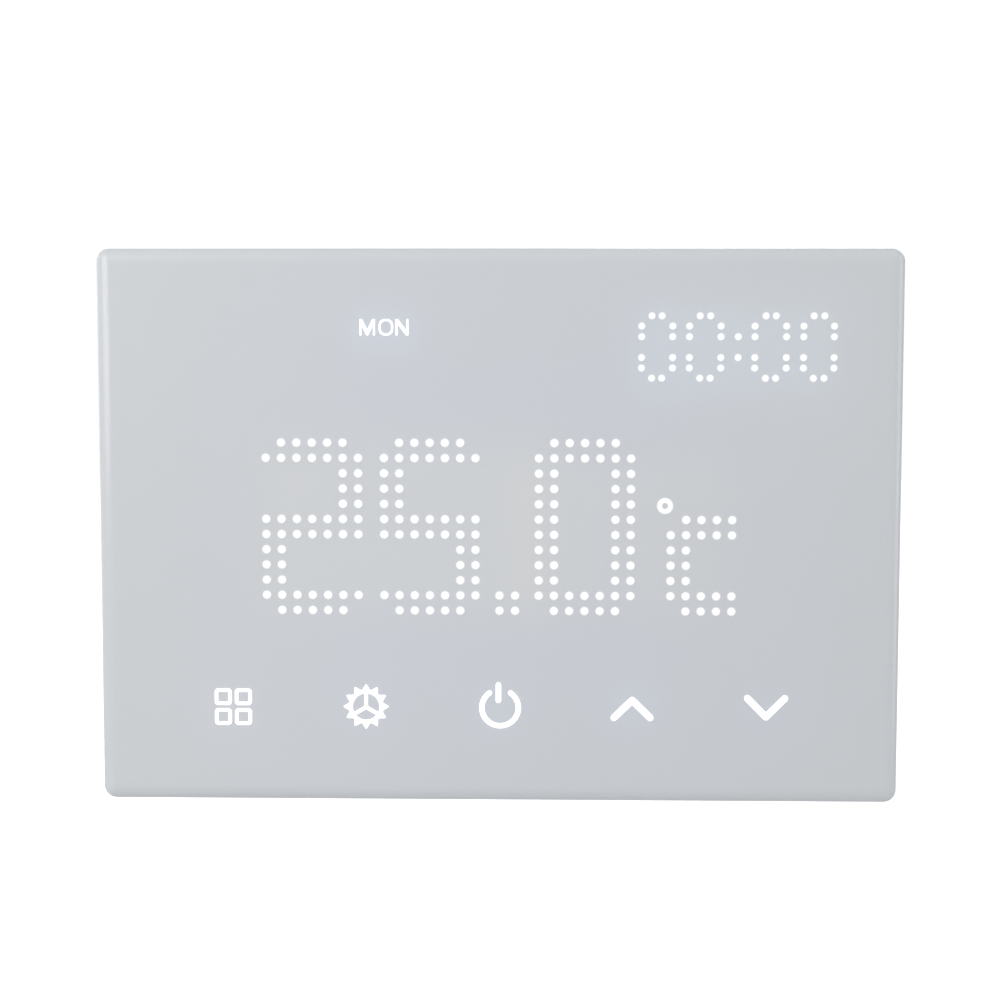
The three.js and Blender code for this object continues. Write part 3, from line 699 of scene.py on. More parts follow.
def display():
    rows = [12.65 - 2.30 * i for i in range(12)]
    two = {0: range(1, 6), 1: range(7), 2: (5, 6), 3: (5, 6), 4: (5, 6), 5: range(7), 6: range(7),
           7: (0, 1), 8: (0, 1), 9: (0, 1), 10: range(7), 11: range(1, 6)}
    five = {0: range(1, 6), 1: range(7), 2: (0, 1), 3: (0, 1), 4: (0, 1), 5: range(7), 6: range(7),
            7: (5, 6), 8: (5, 6), 9: (5, 6), 10: range(7), 11: range(1, 6)}
    zero = {0: range(1, 6), 1: range(7), 10: range(7), 11: range(1, 6)}
    for r in range(2, 10):
        zero[r] = (0, 1, 5, 6)
    unit = {5: range(1, 5), 6: range(5), 7: (0, 1), 8: (0, 1), 9: (0, 1), 10: range(5), 11: range(1, 5)}
    groups = [("digit_tens", two, -34.98, 2.315), ("digit_ones", five, -17.2, 2.29),
              ("digit_tenths", zero, 6.05, 2.295), ("digit_unit", unit, 25.82, 2.29)]
    for name, pattern, x0, pitch in groups:
        m, attr = Mesh(), []
        for r, cols in pattern.items():
            for c in cols:
                x, z = on_face(x0 + pitch * c, rows[r])
                disc(m, attr, x, z, 0.575, 0.80)
        finish_lit(m, attr, name, LIT_DOT)
    m, attr = Mesh(), []
    for px in (0.15, 2.50):
        for r in (10, 11):
            x, z = on_face(px, rows[r])
            disc(m, attr, x, z, 0.575, 0.80)
    finish_lit(m, attr, "digit_point", LIT_DOT)
    m, attr = Mesh(), []
    x, z = on_face(24.93, 3.25)
    disc(m, attr, x, z, 1.17, 1.36, n=40, hole=0.56)
    finish_lit(m, attr, "degree_ring", LIT_DOT)

    crow = [31.58, 30.06, 28.49, 26.95, 25.40, 23.85, 22.34]
    digits = [(21.27, 22.78, 24.28, 25.88), (28.37, 29.93, 31.47, 33.03),
              (38.06, 39.68, 41.18, 42.73), (45.28, 46.78, 48.35, 49.80)]
    for i, cols in enumerate(digits):
        m, attr = Mesh(), []
        for r in range(7):
            if r in (0, 6):
                on = cols[1:3]
            elif r == 3:
                on = ()
            else:
                on = (cols[0], cols[3])
            for cx in on:
                x, z = on_face(cx, crow[r])
                disc(m, attr, x, z, 0.465, 0.68, n=18)
        finish_lit(m, attr, f"clock_digit_{i + 1}", LIT_DOT)
    m, attr = Mesh(), []
    for cz in (28.49, 25.41):
        x, z = on_face(35.59, cz)
        disc(m, attr, x, z, 0.465, 0.68, n=18)
    finish_lit(m, attr, "clock_colon", LIT_DOT)

    # weekday letters
    sw, zc, hh = 0.33, 29.87, 1.21

    def letter(name, cx, outline):
        m, attr = Mesh(), []
        x, z = on_face(cx, zc)
        plate(m, attr, [(x + px, z + pz) for px, pz in outline])
        finish_lit(m, attr, name, LIT_ICON)

    w = 1.17
    letter("weekday_letter_1", -19.61, [
        (-w, -hh), (-w, hh), (-w + sw * 1.25, hh), (0.0, -hh + 0.92), (w - sw * 1.25, hh), (w, hh), (w, -hh), (w - sw, -hh),
        (w - sw, hh - 0.98), (sw * 0.45, -hh), (-sw * 0.45, -hh), (-w + sw, hh - 0.98), (-w + sw, -hh)])
    m, attr = Mesh(), []
    x, z = on_face(-16.82, zc)
    outer, inner = [], []
    for i in range(44):
        t = 2 * math.pi * i / 44
        c, q = math.cos(t), math.sin(t)
        c, q = math.copysign(abs(c) ** (2 / 2.5), c), math.copysign(abs(q) ** (2 / 2.5), q)
        outer.append((x + 1.10 * c, z + (hh + 0.02) * q))
        inner.append((x + (1.10 - sw) * c, z + (hh + 0.02 - sw) * q))
    band(m, attr, outer, inner)
    finish_lit(m, attr, "weekday_letter_2", LIT_ICON)
    w = 0.97
    letter("weekday_letter_3", -14.42, [
        (-w, -hh), (-w, hh), (-w + sw * 1.2, hh), (w - sw, -hh + 0.78), (w - sw, hh), (w, hh), (w, -hh), (w - sw * 1.2, -hh),
        (-w + sw, hh - 0.78), (-w + sw, -hh)])


def icons():
    # four tiles
    m, attr = Mesh(), []
    for cx in (-41.78, -38.72):
        for cz in (-27.50 + 1.52, -27.50 - 1.52):
            x, z = on_face(cx, cz)
            stroke(m, attr, rounded(2.04, 2.02, 0.28, 4, x, z), 0.56, closed=True)
    finish_lit(m, attr, "icon_menu", LIT_ICON)

    # gear with twelve pointed teeth and three spokes
    m, attr = Mesh(), []
    gx, gz = on_face(-20.05, -27.38)
    outer, inner = [], []
    per, teeth = 8, 12
    prof = (3.44, 3.22, 2.92, 2.70, 2.62, 2.70, 2.92, 3.22)
    n = teeth * per
    for i in range(n):
        a = 2 * math.pi * i / n + math.pi / 2
        r = prof[i % per]
        outer.append((gx + r * math.cos(a), gz + r * math.sin(a)))
        inner.append((gx + 1.99 * math.cos(a), gz + 1.99 * math.sin(a)))
    band(m, attr, outer, inner)
    for deg in (90, 210, 330):
        a = math.radians(deg)
        stroke(m, attr, [(gx, gz - 0.08), (gx + 2.2 * math.cos(a), gz - 0.08 + 2.2 * math.sin(a))], 0.58, rnd=5)
    finish_lit(m, attr, "icon_gear", LIT_ICON)

    # power
    m, attr = Mesh(), []
    x, z = on_face(0.25, -27.45)
    arc = []
    for i in range(41):
        a = math.radians(90 + 35 + (360 - 70) * i / 40)
        arc.append((x + 2.75 * math.cos(a), z + 2.75 * math.sin(a)))
    stroke(m, attr, arc, 0.82)
    bx, bz = on_face(0.0, -25.15)
    stroke(m, attr, [(bx, bz + 1.16), (bx, bz - 1.16)], 0.86)
    finish_lit(m, attr, "icon_power", LIT_ICON)

    for name, cx, cz, w, h, s in (("icon_up", 20.20, -27.54, 6.45, 3.70, 1), ("icon_down", 40.36, -27.24, 6.62, 3.86, -1)):
        m, attr = Mesh(), []
        x, z = on_face(cx, cz)
        t = 1.04
        a, b = (w - t) / 2, (h - t) / 2
        stroke(m, attr, [(x - a, z - s * b), (x, z + s * b), (x + a, z - s * b)], t)
        finish_lit(m, attr, name, LIT_ICON)


display()
icons()

# ------------------------------------------------------------------ CAD shapes with moulded edges
def weld(node):
    """The CAD node's shape as a closed bmesh of flat faces, in metres."""
    src = NODES[node]
    place = src.matrix_world
    seen, points, index = {}, [], []
    for v in src.data.vertices:
        c = place @ v.co
        key = (round(c.x * 1e7), round(c.y * 1e7), round(c.z * 1e7))
        if key not in seen:
            seen[key] = len(points)
            points.append(c)
        index.append(seen[key])
    bm = bmesh.new()
    vs = [bm.verts.new(c) for c in points]
    for p in src.data.polygons:
        f = [index[i] for i in p.vertices]
        if len(set(f)) == len(f):
            try:
                bm.faces.new([vs[i] for i in f])
            except ValueError:
                pass
    bm.normal_update()
    bmesh.ops.dissolve_limit(bm, angle_limit=math.radians(0.6), use_dissolve_boundaries=False,
                             verts=bm.verts[:], edges=bm.edges[:])
    bm.normal_update()
    return bm


def weighted(ob):
    mod = ob.modifiers.new("normals", "WEIGHTED_NORMAL")
    mod.keep_sharp = True
    mod.weight = 60
    return ob


def refine(node, name, body, mat, bevel=0.15, angle=38, segments=2, smooth=34, sub=None):
    """Replaces a CAD node with the same shape, its outer edges rounded as moulded or stamped."""
    bm = weld(node)
    if sub:
        sub(bm)
    edges = [e for e in bm.edges if e.is_manifold and e.calc_face_angle_signed(0) > math.radians(angle)]
    if bevel and edges:
        bmesh.ops.bevel(bm, geom=edges, offset=bevel * MM, offset_type="OFFSET", segments=segments,
                        profile=0.5, affect="EDGES", clamp_overlap=False)
    bm.normal_update()
    me = bpy.data.meshes.new(name)
    bm.to_mesh(me)
    bm.free()
    me.materials.append(mat)
    ob = bpy.data.objects.new(name, me)
    bpy.context.scene.collection.objects.link(ob)
    shade(ob, smooth)
    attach(ob, body)
    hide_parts(node)
    return weighted(ob)


SHELL = moulded("shell_plastic", (205, 207, 210), rough=0.46, grain=0.30, grain_mm=0.30, var=0.02)
PLATE = moulded("plate_plastic", (208, 210, 211), rough=0.50, grain=0.32, grain_mm=0.34, var=0.022)
MODULE = moulded("module_plastic", (210, 211, 208), rough=0.52, grain=0.34, grain_mm=0.34, var=0.022)
BLACK = moulded("black_nylon", (30, 31, 33), rough=0.42, grain=0.30, grain_mm=0.25, var=0.10)
GREEN = moulded("terminal_nylon", (44, 140, 84), rough=0.40, grain=0.26, grain_mm=0.25, var=0.06)
CHIP = moulded("chip_epoxy", (38, 38, 41), rough=0.55, grain=0.45, grain_mm=0.09, var=0.10)
RELAY = moulded("relay_plastic", (30, 84, 156), rough=0.30, grain=0.12, grain_mm=0.30, var=0.06, coat=0.2)
FUSE = moulded("fuse_plastic", (92, 60, 40), rough=0.42, grain=0.25, grain_mm=0.22, var=0.10)
FILM = moulded("film_box", (224, 184, 62), rough=0.34, grain=0.15, grain_mm=0.25, var=0.05, coat=0.15)
EPOXY = moulded("dipped_epoxy", (34, 96, 168), rough=0.22, grain=0.5, grain_mm=1.4, var=0.08, coat=0.5)
BEAD = moulded("sensor_bead", (46, 30, 26), rough=0.20, grain=0.2, grain_mm=0.8, var=0.12, coat=0.6)
SLEEVE = moulded("shrink_sleeve", (34, 37, 44), rough=0.26, grain=0.18, grain_mm=1.0, var=0.10, coat=0.35)
FERRITE = moulded("ferrite", (58, 60, 64), rough=0.66, grain=0.55, grain_mm=0.12, var=0.14)
TAPE = moulded("winding_tape", (226, 190, 66), rough=0.28, grain=0.25, grain_mm=0.6, var=0.07, coat=0.3)
ZINC = plated("zinc_plated", (198, 200, 202), rough=0.30, var=0.09)
TINNED = plated("tinned_sheet", (188, 190, 192), rough=0.36, var=0.10, scratch=0.10)
CAN = plated("nickel_can", (196, 198, 200), rough=0.22, var=0.05, scratch=0.25)
IRON = plated("relay_iron", (178, 181, 184), rough=0.38, var=0.10)
BRASS = plated("plated_brass", (206, 176, 104), rough=0.30, var=0.12)
GOLD = plated("gold_flash", (214, 176, 92), rough=0.26, var=0.08)
SOLDER = plated("solder", (196, 199, 203), rough=0.24, var=0.10, scratch=0.05)


def foam_tape(k, b):
    c = k.coords()
    pore_relief_and_painted_shade = k.voronoi(c, 5200)
    # painted shade: each pore is darker towards its centre, where the bump sinks it
    k.set(b.inputs["Base Color"], k.mix(k.mapr(pore_relief_and_painted_shade, 0.0, 0.6), (0.010, 0.010, 0.011), (0.030, 0.030, 0.032)))
    k.set(b.inputs["Normal"], k.bump(pore_relief_and_painted_shade, 0.5, 0.00003))


FOAM = material("foam_tape", foam_tape, Roughness=0.85, Specular_IOR_Level=0.3)


def milky(k, b):
    c = k.coords()
    k.set(b.inputs["Base Color"], k.mix(k.noise(c, 160, 3), (0.84, 0.86, 0.87), (0.90, 0.91, 0.92)))
    k.set(b.inputs["Roughness"], k.mapr(k.noise(c, 700, 2), 0.3, 0.7, 0.34, 0.44))
    k.set(b.inputs["Normal"], k.bump(k.noise(c, 3200, 2), 0.12, 0.00002))


# painted glow: the light guide emits a faint even white light of its own, standing in for the display's light passing
# through it
GUIDE_PAINTED_GLOW = material("light_guide", milky, Specular_IOR_Level=0.5, Emission_Color=(1.0, 1.0, 1.0), Emission_Strength=0.12)


def copper_wire(axis):
    """Close-wound enamelled wire, turns lying across the given axis; painted shade darkens the grooves between turns.
    """
    def build(k, b):
        c = k.coords()
        part = dict(zip("xyz", k.xyz(c)))[axis]
        turn = k.math("SINE", k.math("MULTIPLY", part, 2 * math.pi / 0.00022))
        # painted shade: dark copper in the grooves between turns, bright copper on their crowns
        col = k.mix(k.mapr(turn, -1, 1), (0.20, 0.06, 0.02), (0.56, 0.22, 0.085))
        k.set(b.inputs["Base Color"], k.mix(k.mapr(k.noise(c, 600, 3), 0.3, 0.7), col, (0.45, 0.16, 0.06)))
        k.set(b.inputs["Normal"], k.bump(turn, 0.6, 0.00006))
    return material(f"enamelled_wire_{axis}", build, Metallic=0.85, Roughness=0.28, Coat_Weight=0.4, Coat_Roughness=0.08)


WIRE = copper_wire("y")


def solder_mask(name, tint, copper):
    """Board face: glossy mask over copper pours and tracks, glass weave in the bare edge."""
    def build(k, b):
        c = k.coords()
        px, py, pz = k.xyz(c)
        v = k.join(px, pz, 0.0)
        cell = k.voronoi(v, 170, feature="F1", out="Distance", randomness=0.6)
        pour = k.mapr(cell, 0.33, 0.36)
        grid = k.put("ShaderNodeTexBrick")
        k.set(grid.inputs["Vector"], v)
        grid.inputs["Scale"].default_value = 520
        grid.inputs["Mortar Size"].default_value = 0.012
        grid.inputs["Brick Width"].default_value = 0.9
        grid.inputs["Row Height"].default_value = 0.45
        lines = grid.outputs["Fac"]
        raised = k.math("MAXIMUM", k.math("MULTIPLY", pour, 0.6), lines)
        weave = k.math("MULTIPLY", k.math("SINE", k.math("MULTIPLY", px, 9000.0)), k.math("SINE", k.math("MULTIPLY", pz, 9000.0)))
        col = k.mix(raised, tint, copper)
        col = k.mix(k.math("MULTIPLY", k.mapr(weave, 0.2, 1.0), 0.12), col, tuple(min(1, 2.0 * t + 0.01) for t in tint))
        k.set(b.inputs["Base Color"], col)
        k.set(b.inputs["Roughness"], k.mapr(k.noise(c, 500, 2), 0.3, 0.7, 0.20, 0.32))
        height = k.math("ADD", raised, k.math("MULTIPLY", weave, 0.10))
        k.set(b.inputs["Normal"], k.bump(height, 0.30, 0.00003))
    return material(name, build, Coat_Weight=0.45, Coat_Roughness=0.10)


MASK_DARK = solder_mask("mask_black", (0.012, 0.013, 0.016), (0.026, 0.029, 0.034))
MASK_GREEN = solder_mask("mask_green", (0.010, 0.085, 0.032), (0.020, 0.150, 0.060))
MASK_BLUE = solder_mask("mask_module", (0.008, 0.012, 0.030), (0.016, 0.026, 0.060))


# ------------------------------------------------------------------ front unit
refine("panel_adhesive", "adhesive_ring", "front_unit", FOAM, bevel=0.0)
refine("front_housing", "housing_shell", "front_unit", SHELL, bevel=0.22)
refine("digit_light_guide", "digit_guide", "front_unit", GUIDE_PAINTED_GLOW, bevel=0.12)
refine("clock_light_guide", "clock_guide", "front_unit", GUIDE_PAINTED_GLOW, bevel=0.12)
refine("display_board", "touch_board", "front_unit", MASK_DARK, bevel=0.05)
refine("wifi_module", "radio_board", "front_unit", MASK_BLUE, bevel=0.04)
refine("wifi_shield", "radio_can", "front_unit", TINNED, bevel=0.22, segments=3)
refine("battery_holder", "cell_holder", "front_unit", BLACK, bevel=0.16)


def springs():
    """Contact springs under the touch keys: plated wire, flat end coil on the board, closed top coil."""
    for i, cx in enumerate((-40.35, -20.2, 0.1, 20.14, 40.36)):
        r, wire, cz = 2.72, 0.28, -27.3
        src = NODES[f"touch_spring_{i + 1}"]
        pts = [src.matrix_world @ v.co for v in src.data.vertices]
        y0, y1 = min(p.y for p in pts) * 1000, max(p.y for p in pts) * 1000
        rr = max(math.hypot(p.x * 1000 - cx, p.z * 1000 - cz) for p in pts)
        r = rr - wire
        a, b = y0 + wire, y1 - wire
        turns, per = 4.0, 28
        path = []
        n = int(turns * per)
        for j in range(n + 1):
            t = j / n
            ends = 0.16
            if t < ends:
                s = 0.0
            elif t > 1 - ends:
                s = 1.0
            else:
                s = (t - ends) / (1 - 2 * ends)
                s = s * s * (3 - 2 * s) * 0.35 + s * 0.65
            ang = 2 * math.pi * turns * t
            path.append(Vector((cx + r * math.cos(ang), a + (b - a) * s, cz + r * math.sin(ang))))
        tube(f"key_spring_{i + 1}", path, wire * 0.96, "front_unit", ZINC, "spring", replaces=(f"touch_spring_{i + 1}",), seg=8)


def tube(name, path, radius, body, mat, slot, replaces=(), seg=10, ends=True):
    """Round wire along a list of points, millimetres."""
    rings, up = [], Vector((0, 0, 1))
    n = len(path)
    t0 = (path[1] - path[0]).normalized()
    u = t0.cross(up if abs(t0.z) < 0.9 else Vector((1, 0, 0))).normalized()
    for i, p in enumerate(path):
        t = (path[min(i + 1, n - 1)] - path[max(i - 1, 0)]).normalized()
        u = (u - t * u.dot(t)).normalized()
        w = t.cross(u)
        rad = radius[i] if isinstance(radius, (list, tuple)) else radius
        rings.append([tuple(p + (u * math.cos(2 * math.pi * k / seg) + w * math.sin(2 * math.pi * k / seg)) * rad) for k in range(seg)])
    v, f = loft(rings)
    return make(name, v, f, body, mat, slot=slot, smooth=60, replaces=replaces)


springs()


def cross_screw(name, body, node, cx, cz, y_under, sign, head_r, head_h, shank_r=1.2, length=5.0):
    """Pan-head screw with a cross recess; sign is the side the head faces along Y."""
    bm = bmesh.new()
    seg = 32
    prof = [(0.0, head_h), (head_r * 0.34, head_h * 0.995), (head_r * 0.62, head_h * 0.95), (head_r * 0.82, head_h * 0.82),
            (head_r * 0.94, head_h * 0.62), (head_r, head_h * 0.36), (head_r, head_h * 0.08), (head_r * 0.95, 0.0),
            (shank_r * 1.04, 0.0)]
    y = -0.25
    pitch = 0.55
    while y > -length + 1.0:
        prof += [(shank_r, y), (shank_r * 0.80, y - pitch * 0.28), (shank_r * 0.80, y - pitch * 0.55)]
        y -= pitch
    prof += [(shank_r * 0.8, -length + 0.9), (shank_r * 0.35, -length + 0.25), (0.0, -length)]
    m = Mesh()
    m.revolve([(r, t) for r, t in prof], (0, 0, 0), "Y", seg)
    me = bpy.data.meshes.new(name)
    me.from_pydata([tuple(c * MM for c in v) for v in m.v], [], m.f)
    ob = bpy.data.objects.new(name, me)
    bpy.context.scene.collection.objects.link(ob)
    # cross recess, four tapering wings
    cm = Mesh()
    wide, deep = head_r * 0.56, head_h * 0.72
    for ang in (0, math.pi / 2):
        pts = []
        for t, rr, hw in ((head_h + 0.2, wide * 1.06, 0.30), (head_h - deep, wide * 0.42, 0.20)):
            for sx, sz in ((-1, -1), (1, -1), (1, 1), (-1, 1)):
                x, z = sx * rr, sz * hw
                pts.append((x * math.cos(ang) - z * math.sin(ang), t, x * math.sin(ang) + z * math.cos(ang)))
        cm.add(pts, [[0, 1, 2, 3], [7, 6, 5, 4], [0, 4, 5, 1], [1, 5, 6, 2], [2, 6, 7, 3], [3, 7, 4, 0]])
    cut_me = bpy.data.meshes.new(name + "_cut")
    cut_me.from_pydata([tuple(c * MM for c in v) for v in cm.v], [], cm.f)
    cutter = bpy.data.objects.new(name + "_cut", cut_me)
    bpy.context.scene.collection.objects.link(cutter)
    for mesh in (me, cut_me):
        b2 = bmesh.new()
        b2.from_mesh(mesh)
        bmesh.ops.recalc_face_normals(b2, faces=b2.faces)
        b2.to_mesh(mesh)
        b2.free()
    mod = ob.modifiers.new("recess", "BOOLEAN")
    mod.operation = "DIFFERENCE"
    mod.solver = "EXACT"
    mod.use_self = True
    mod.object = cutter
    bpy.context.view_layer.update()
    dg = bpy.context.evaluated_depsgraph_get()
    out = bpy.data.meshes.new_from_object(ob.evaluated_get(dg))
    bm.from_mesh(out)
    bpy.data.objects.remove(cutter)
    bpy.data.objects.remove(ob)
    rot = Matrix.Identity(4) if sign > 0 else Matrix.Rotation(math.pi, 4, "X")
    bm.transform(Matrix.Translation(Vector((cx, y_under, cz)) * MM) @ rot @ Matrix.Rotation(math.radians(17 + 41 * cx % 60), 4, "Y"))
    if bm.calc_volume(signed=True) < 0:
        bmesh.ops.reverse_faces(bm, faces=bm.faces)
    final = bpy.data.meshes.new(name)
    bm.to_mesh(final)
    bm.free()
    final.materials.clear()
    final.materials.append(ZINC)
    res = bpy.data.objects.new(name, final)
    bpy.context.scene.collection.objects.link(res)
    shade(res, 40)
    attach(res, body)
    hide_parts(node)
    return res


n = 1
for sx, sz in ((-1, 1), (1, 1), (-1, -1), (1, -1)):
    cross_screw(f"pan_screw_{n}", "front_unit", f"board_screw_{n}", sx * 52.0, sz * 17.6, -6.62, 1, 2.2, 1.34, shank_r=0.8, length=3.8)
    cross_screw(f"case_screw_{n}", "base", f"plate_screw_{n}", sx * 29.2, sz * 22.2, -2.05, -1, 2.6, 1.2, shank_r=1.2, length=6.3)
    n += 1


# ------------------------------------------------------------------ base
refine("back_plate", "wall_plate", "base", PLATE, bevel=0.20)
refine("power_case", "module_case", "base", MODULE, bevel=0.30, segments=3)
refine("power_board", "supply_board", "base", MASK_GREEN, bevel=0.05)
refine("socket_header", "pin_socket", "base", BLACK, bevel=0.12)
refine("relay_case", "relay_cover", "base", RELAY, bevel=0.30, segments=3)
refine("relay_frame", "relay_yoke", "base", IRON, bevel=0.10)
refine("relay_coil", "relay_winding", "base", WIRE, bevel=0.10)
refine("relay_contact", "relay_leaf", "base", BRASS, bevel=0.05)
refine("relay_armature", "relay_plate", "relay_armature", IRON, bevel=0.08)
refine("transformer_core", "ferrite_core", "base", FERRITE, bevel=0.20)
refine("transformer_winding", "taped_winding", "base", TAPE, bevel=0.30, segments=3)
refine("film_capacitor", "line_capacitor", "base", FILM, bevel=0.30, segments=3)
refine("varistor", "surge_disc", "base", EPOXY, bevel=0.45, segments=4)
refine("fuse", "round_fuse", "base", FUSE, bevel=0.25, segments=3)
refine("terminal_block", "terminal_housing", "base", GREEN, bevel=0.18)
for n in range(1, 7):
    refine(f"terminal_clamp_{n}", f"wire_clamp_{n}", f"terminal_clamp_{n}", BRASS, bevel=0.12)


# ------------------------------------------------------------------ parts on the display board
BOARD_Y = -6.7
TAN = moulded("ceramic_tan", (150, 112, 78), rough=0.38, grain=0.3, grain_mm=0.12, var=0.14)
WHITE_PRINT = moulded("board_print", (214, 216, 214), rough=0.6, grain=0.2, grain_mm=0.2, var=0.05)


def track_mask(k, b):
    c = k.coords()
    k.set(b.inputs["Base Color"], k.mix(k.noise(c, 900, 3), (0.030, 0.034, 0.040), (0.048, 0.052, 0.060)))
    k.set(b.inputs["Roughness"], k.mapr(k.noise(c, 500, 2), 0.3, 0.7, 0.18, 0.28))
    k.set(b.inputs["Normal"], k.bump(k.noise(c, 4200, 2), 0.10, 0.00001))


TRACK = material("mask_over_copper", track_mask, Coat_Weight=0.5, Coat_Roughness=0.08)


def ribbon(mesh, pts, width, y0, y1):
    """Flat track of even width along pts (X-Z), as a closed solid between y0 and y1."""
    hw, n = width / 2, len(pts)
    left, right = [], []
    for i, (x, z) in enumerate(pts):
        a, b = pts[max(i - 1, 0)], pts[min(i + 1, n - 1)]
        d1 = Vector((x - a[0], z - a[1])) if i else Vector((b[0] - x, b[1] - z))
        d2 = Vector((b[0] - x, b[1] - z)) if i < n - 1 else d1
        d1, d2 = d1.normalized(), d2.normalized()
        t = (d1 + d2).normalized()
        nrm = Vector((-t.y, t.x))
        k = hw / max(0.4, nrm.dot(Vector((-d1.y, d1.x))))
        left.append((x + nrm.x * k, z + nrm.y * k))
        right.append((x - nrm.x * k, z - nrm.y * k))
    base = []
    for y in (y0, y1):
        base += [(x, y, z) for x, z in left] + [(x, y, z) for x, z in right]
    f = []
    for i in range(n - 1):
        f.append([i, i + 1, n + i + 1, n + i])
        f.append([2 * n + i, 3 * n + i, 3 * n + i + 1, 2 * n + i + 1])
        f.append([i, 2 * n + i, 2 * n + i + 1, i + 1])
        f.append([n + i, n + i + 1, 3 * n + i + 1, 3 * n + i])
    f.append([0, n, 3 * n, 2 * n])
    f.append([n - 1, 3 * n - 1, 4 * n - 1, 2 * n - 1])
    mesh.add(base, f)


class Board:
    """Small parts soldered to the back of the display board, gathered by material."""

    def __init__(self):
        self.metal, self.dark, self.tan, self.white, self.tracks, self.pads = (Mesh() for _ in range(6))

    def chip2(self, x, z, size=(1.6, 0.8, 0.45), turn=False, tan=True):
        """Two-terminal ceramic part with wrapped metal ends and its solder."""
        l, w, h = size
        end = l * 0.20
        body = self.tan if tan else self.dark

        def put(mesh, a0, a1, w2, h0, h1, bev):
            if turn:
                mesh.box(x - w2 / 2, x + w2 / 2, BOARD_Y + h0, BOARD_Y + h1, z + a0, z + a1, bevel=bev)
            else:
                mesh.box(x + a0, x + a1, BOARD_Y + h0, BOARD_Y + h1, z - w2 / 2, z + w2 / 2, bevel=bev)

        put(body, -l / 2 + end, l / 2 - end, w * 0.97, 0.06, h, 0.05)
        for s in (-1, 1):
            a, b = sorted((s * (l / 2 - end - 0.02), s * l / 2))
            put(self.metal, a, b, w, 0.05, h + 0.03, 0.07)
            a, b = sorted((s * (l / 2 - 0.04), s * (l / 2 + 0.26)))
            put(self.metal, a, b, w * 0.92, -0.02, h * 0.45, 0.12)
            a, b = sorted((s * (l / 2 - end), s * (l / 2 + 0.38)))
            put(self.pads, a, b, w * 1.12, -0.02, 0.035, 0.0)

    def leaded(self, x, z, w, h, tall, legs_x=0, legs_z=0, pitch=1.27, leg=0.4, reach=0.9, body_y=0.12, notch=True):
        """Moulded package with gull-wing legs on its X sides (legs_z of them) or Z sides (legs_x)."""
        rings = []
        for y, inset in ((body_y, 0.12), (body_y + 0.02 + (tall - body_y) * 0.5, 0.0), (tall - 0.03, 0.14), (tall, 0.20)):
            rings.append([(px, BOARD_Y + y, pz) for px, pz in rounded(w - 2 * inset, h - 2 * inset, 0.12, 2, x, z)])
        self.dark.add(*loft(rings))
        if notch:
            self.dark.revolve([(0.0, 0.0), (0.46, 0.0), (0.46, 0.018), (0.34, 0.018), (0.30, 0.004), (0.0, 0.004)],
                              (x - w / 2 + 0.95, BOARD_Y + tall - 0.002, z + h / 2 - 0.95), "Y", 14)
        t = 0.13
        top = body_y + (tall - body_y) * 0.5

        def gull(at, s, along_x):
            # profile (outward distance, height)
            half = (w if along_x else h) / 2
            prof = [(half - 0.15, top + t / 2), (half + 0.22, top + t / 2), (half + 0.40, 0.16), (half + reach, 0.16),
                    (half + reach, 0.03), (half + 0.30, 0.03), (half + 0.14, top - t / 2), (half - 0.15, top - t / 2)]
            pts = []
            for off in (-leg / 2, leg / 2):
                for d, y in prof:
                    if along_x:
                        pts.append((x + s * d, BOARD_Y + y, at + off))
                    else:
                        pts.append((at + off, BOARD_Y + y, z + s * d))
            k = len(prof)
            f = [[i, (i + 1) % k, k + (i + 1) % k, k + i] for i in range(k)]
            f += [[0, 1, 6, 7], [1, 2, 5, 6], [2, 3, 4, 5]]
            f += [[k + 7, k + 6, k + 1, k], [k + 6, k + 5, k + 2, k + 1], [k + 5, k + 4, k + 3, k + 2]]
            self.metal.add(pts, f)
            d0, d1 = half + 0.32, half + reach + 0.28
            if along_x:
                a, b = sorted((x + s * d0, x + s * d1))
                self.pads.box(a, b, BOARD_Y - 0.02, BOARD_Y + 0.04, at - leg * 0.62, at + leg * 0.62)
            else:
                a, b = sorted((z + s * d0, z + s * d1))
                self.pads.box(at - leg * 0.62, at + leg * 0.62, BOARD_Y - 0.02, BOARD_Y + 0.04, a, b)

        for i in range(legs_z):
            at = z + (i - (legs_z - 1) / 2) * pitch
            gull(at, -1, True)
            gull(at, 1, True)
        for i in range(legs_x):
            at = x + (i - (legs_x - 1) / 2) * pitch
            gull(at, -1, False)
            gull(at, 1, False)

    def ring(self, x, z, r0, r1, seg=14, up=0.035):
        self.pads.revolve([(r0, -0.02), (r1, -0.02), (r1, up), (r0, up), (r0, -0.02)], (x, BOARD_Y, z), "Y", seg)

    def via(self, x, z):
        self.pads.revolve([(0.0, -0.02), (0.30, -0.02), (0.30, 0.03), (0.13, 0.03), (0.10, 0.005), (0.0, 0.005)], (x, BOARD_Y, z), "Y", 10)

    def track(self, pts, width=0.22):
        ribbon(self.tracks, pts, width, BOARD_Y - 0.02, BOARD_Y + 0.03)

    def done(self):
        self.metal.done("solder_and_legs", "front_unit", SOLDER, slot="shield", smooth=35)
        self.pads.done("board_pads", "front_unit", SOLDER, slot="shield", smooth=30)
        self.dark.done("small_packages", "front_unit", CHIP, slot="chip", smooth=30)
        self.tan.done("ceramic_parts", "front_unit", TAN, slot="fuse_brown", smooth=30)
        self.white.done("board_outlines", "front_unit", WHITE_PRINT, slot="plate", smooth=None)
        self.tracks.done("board_tracks", "front_unit", TRACK, slot="board_dark", smooth=None)


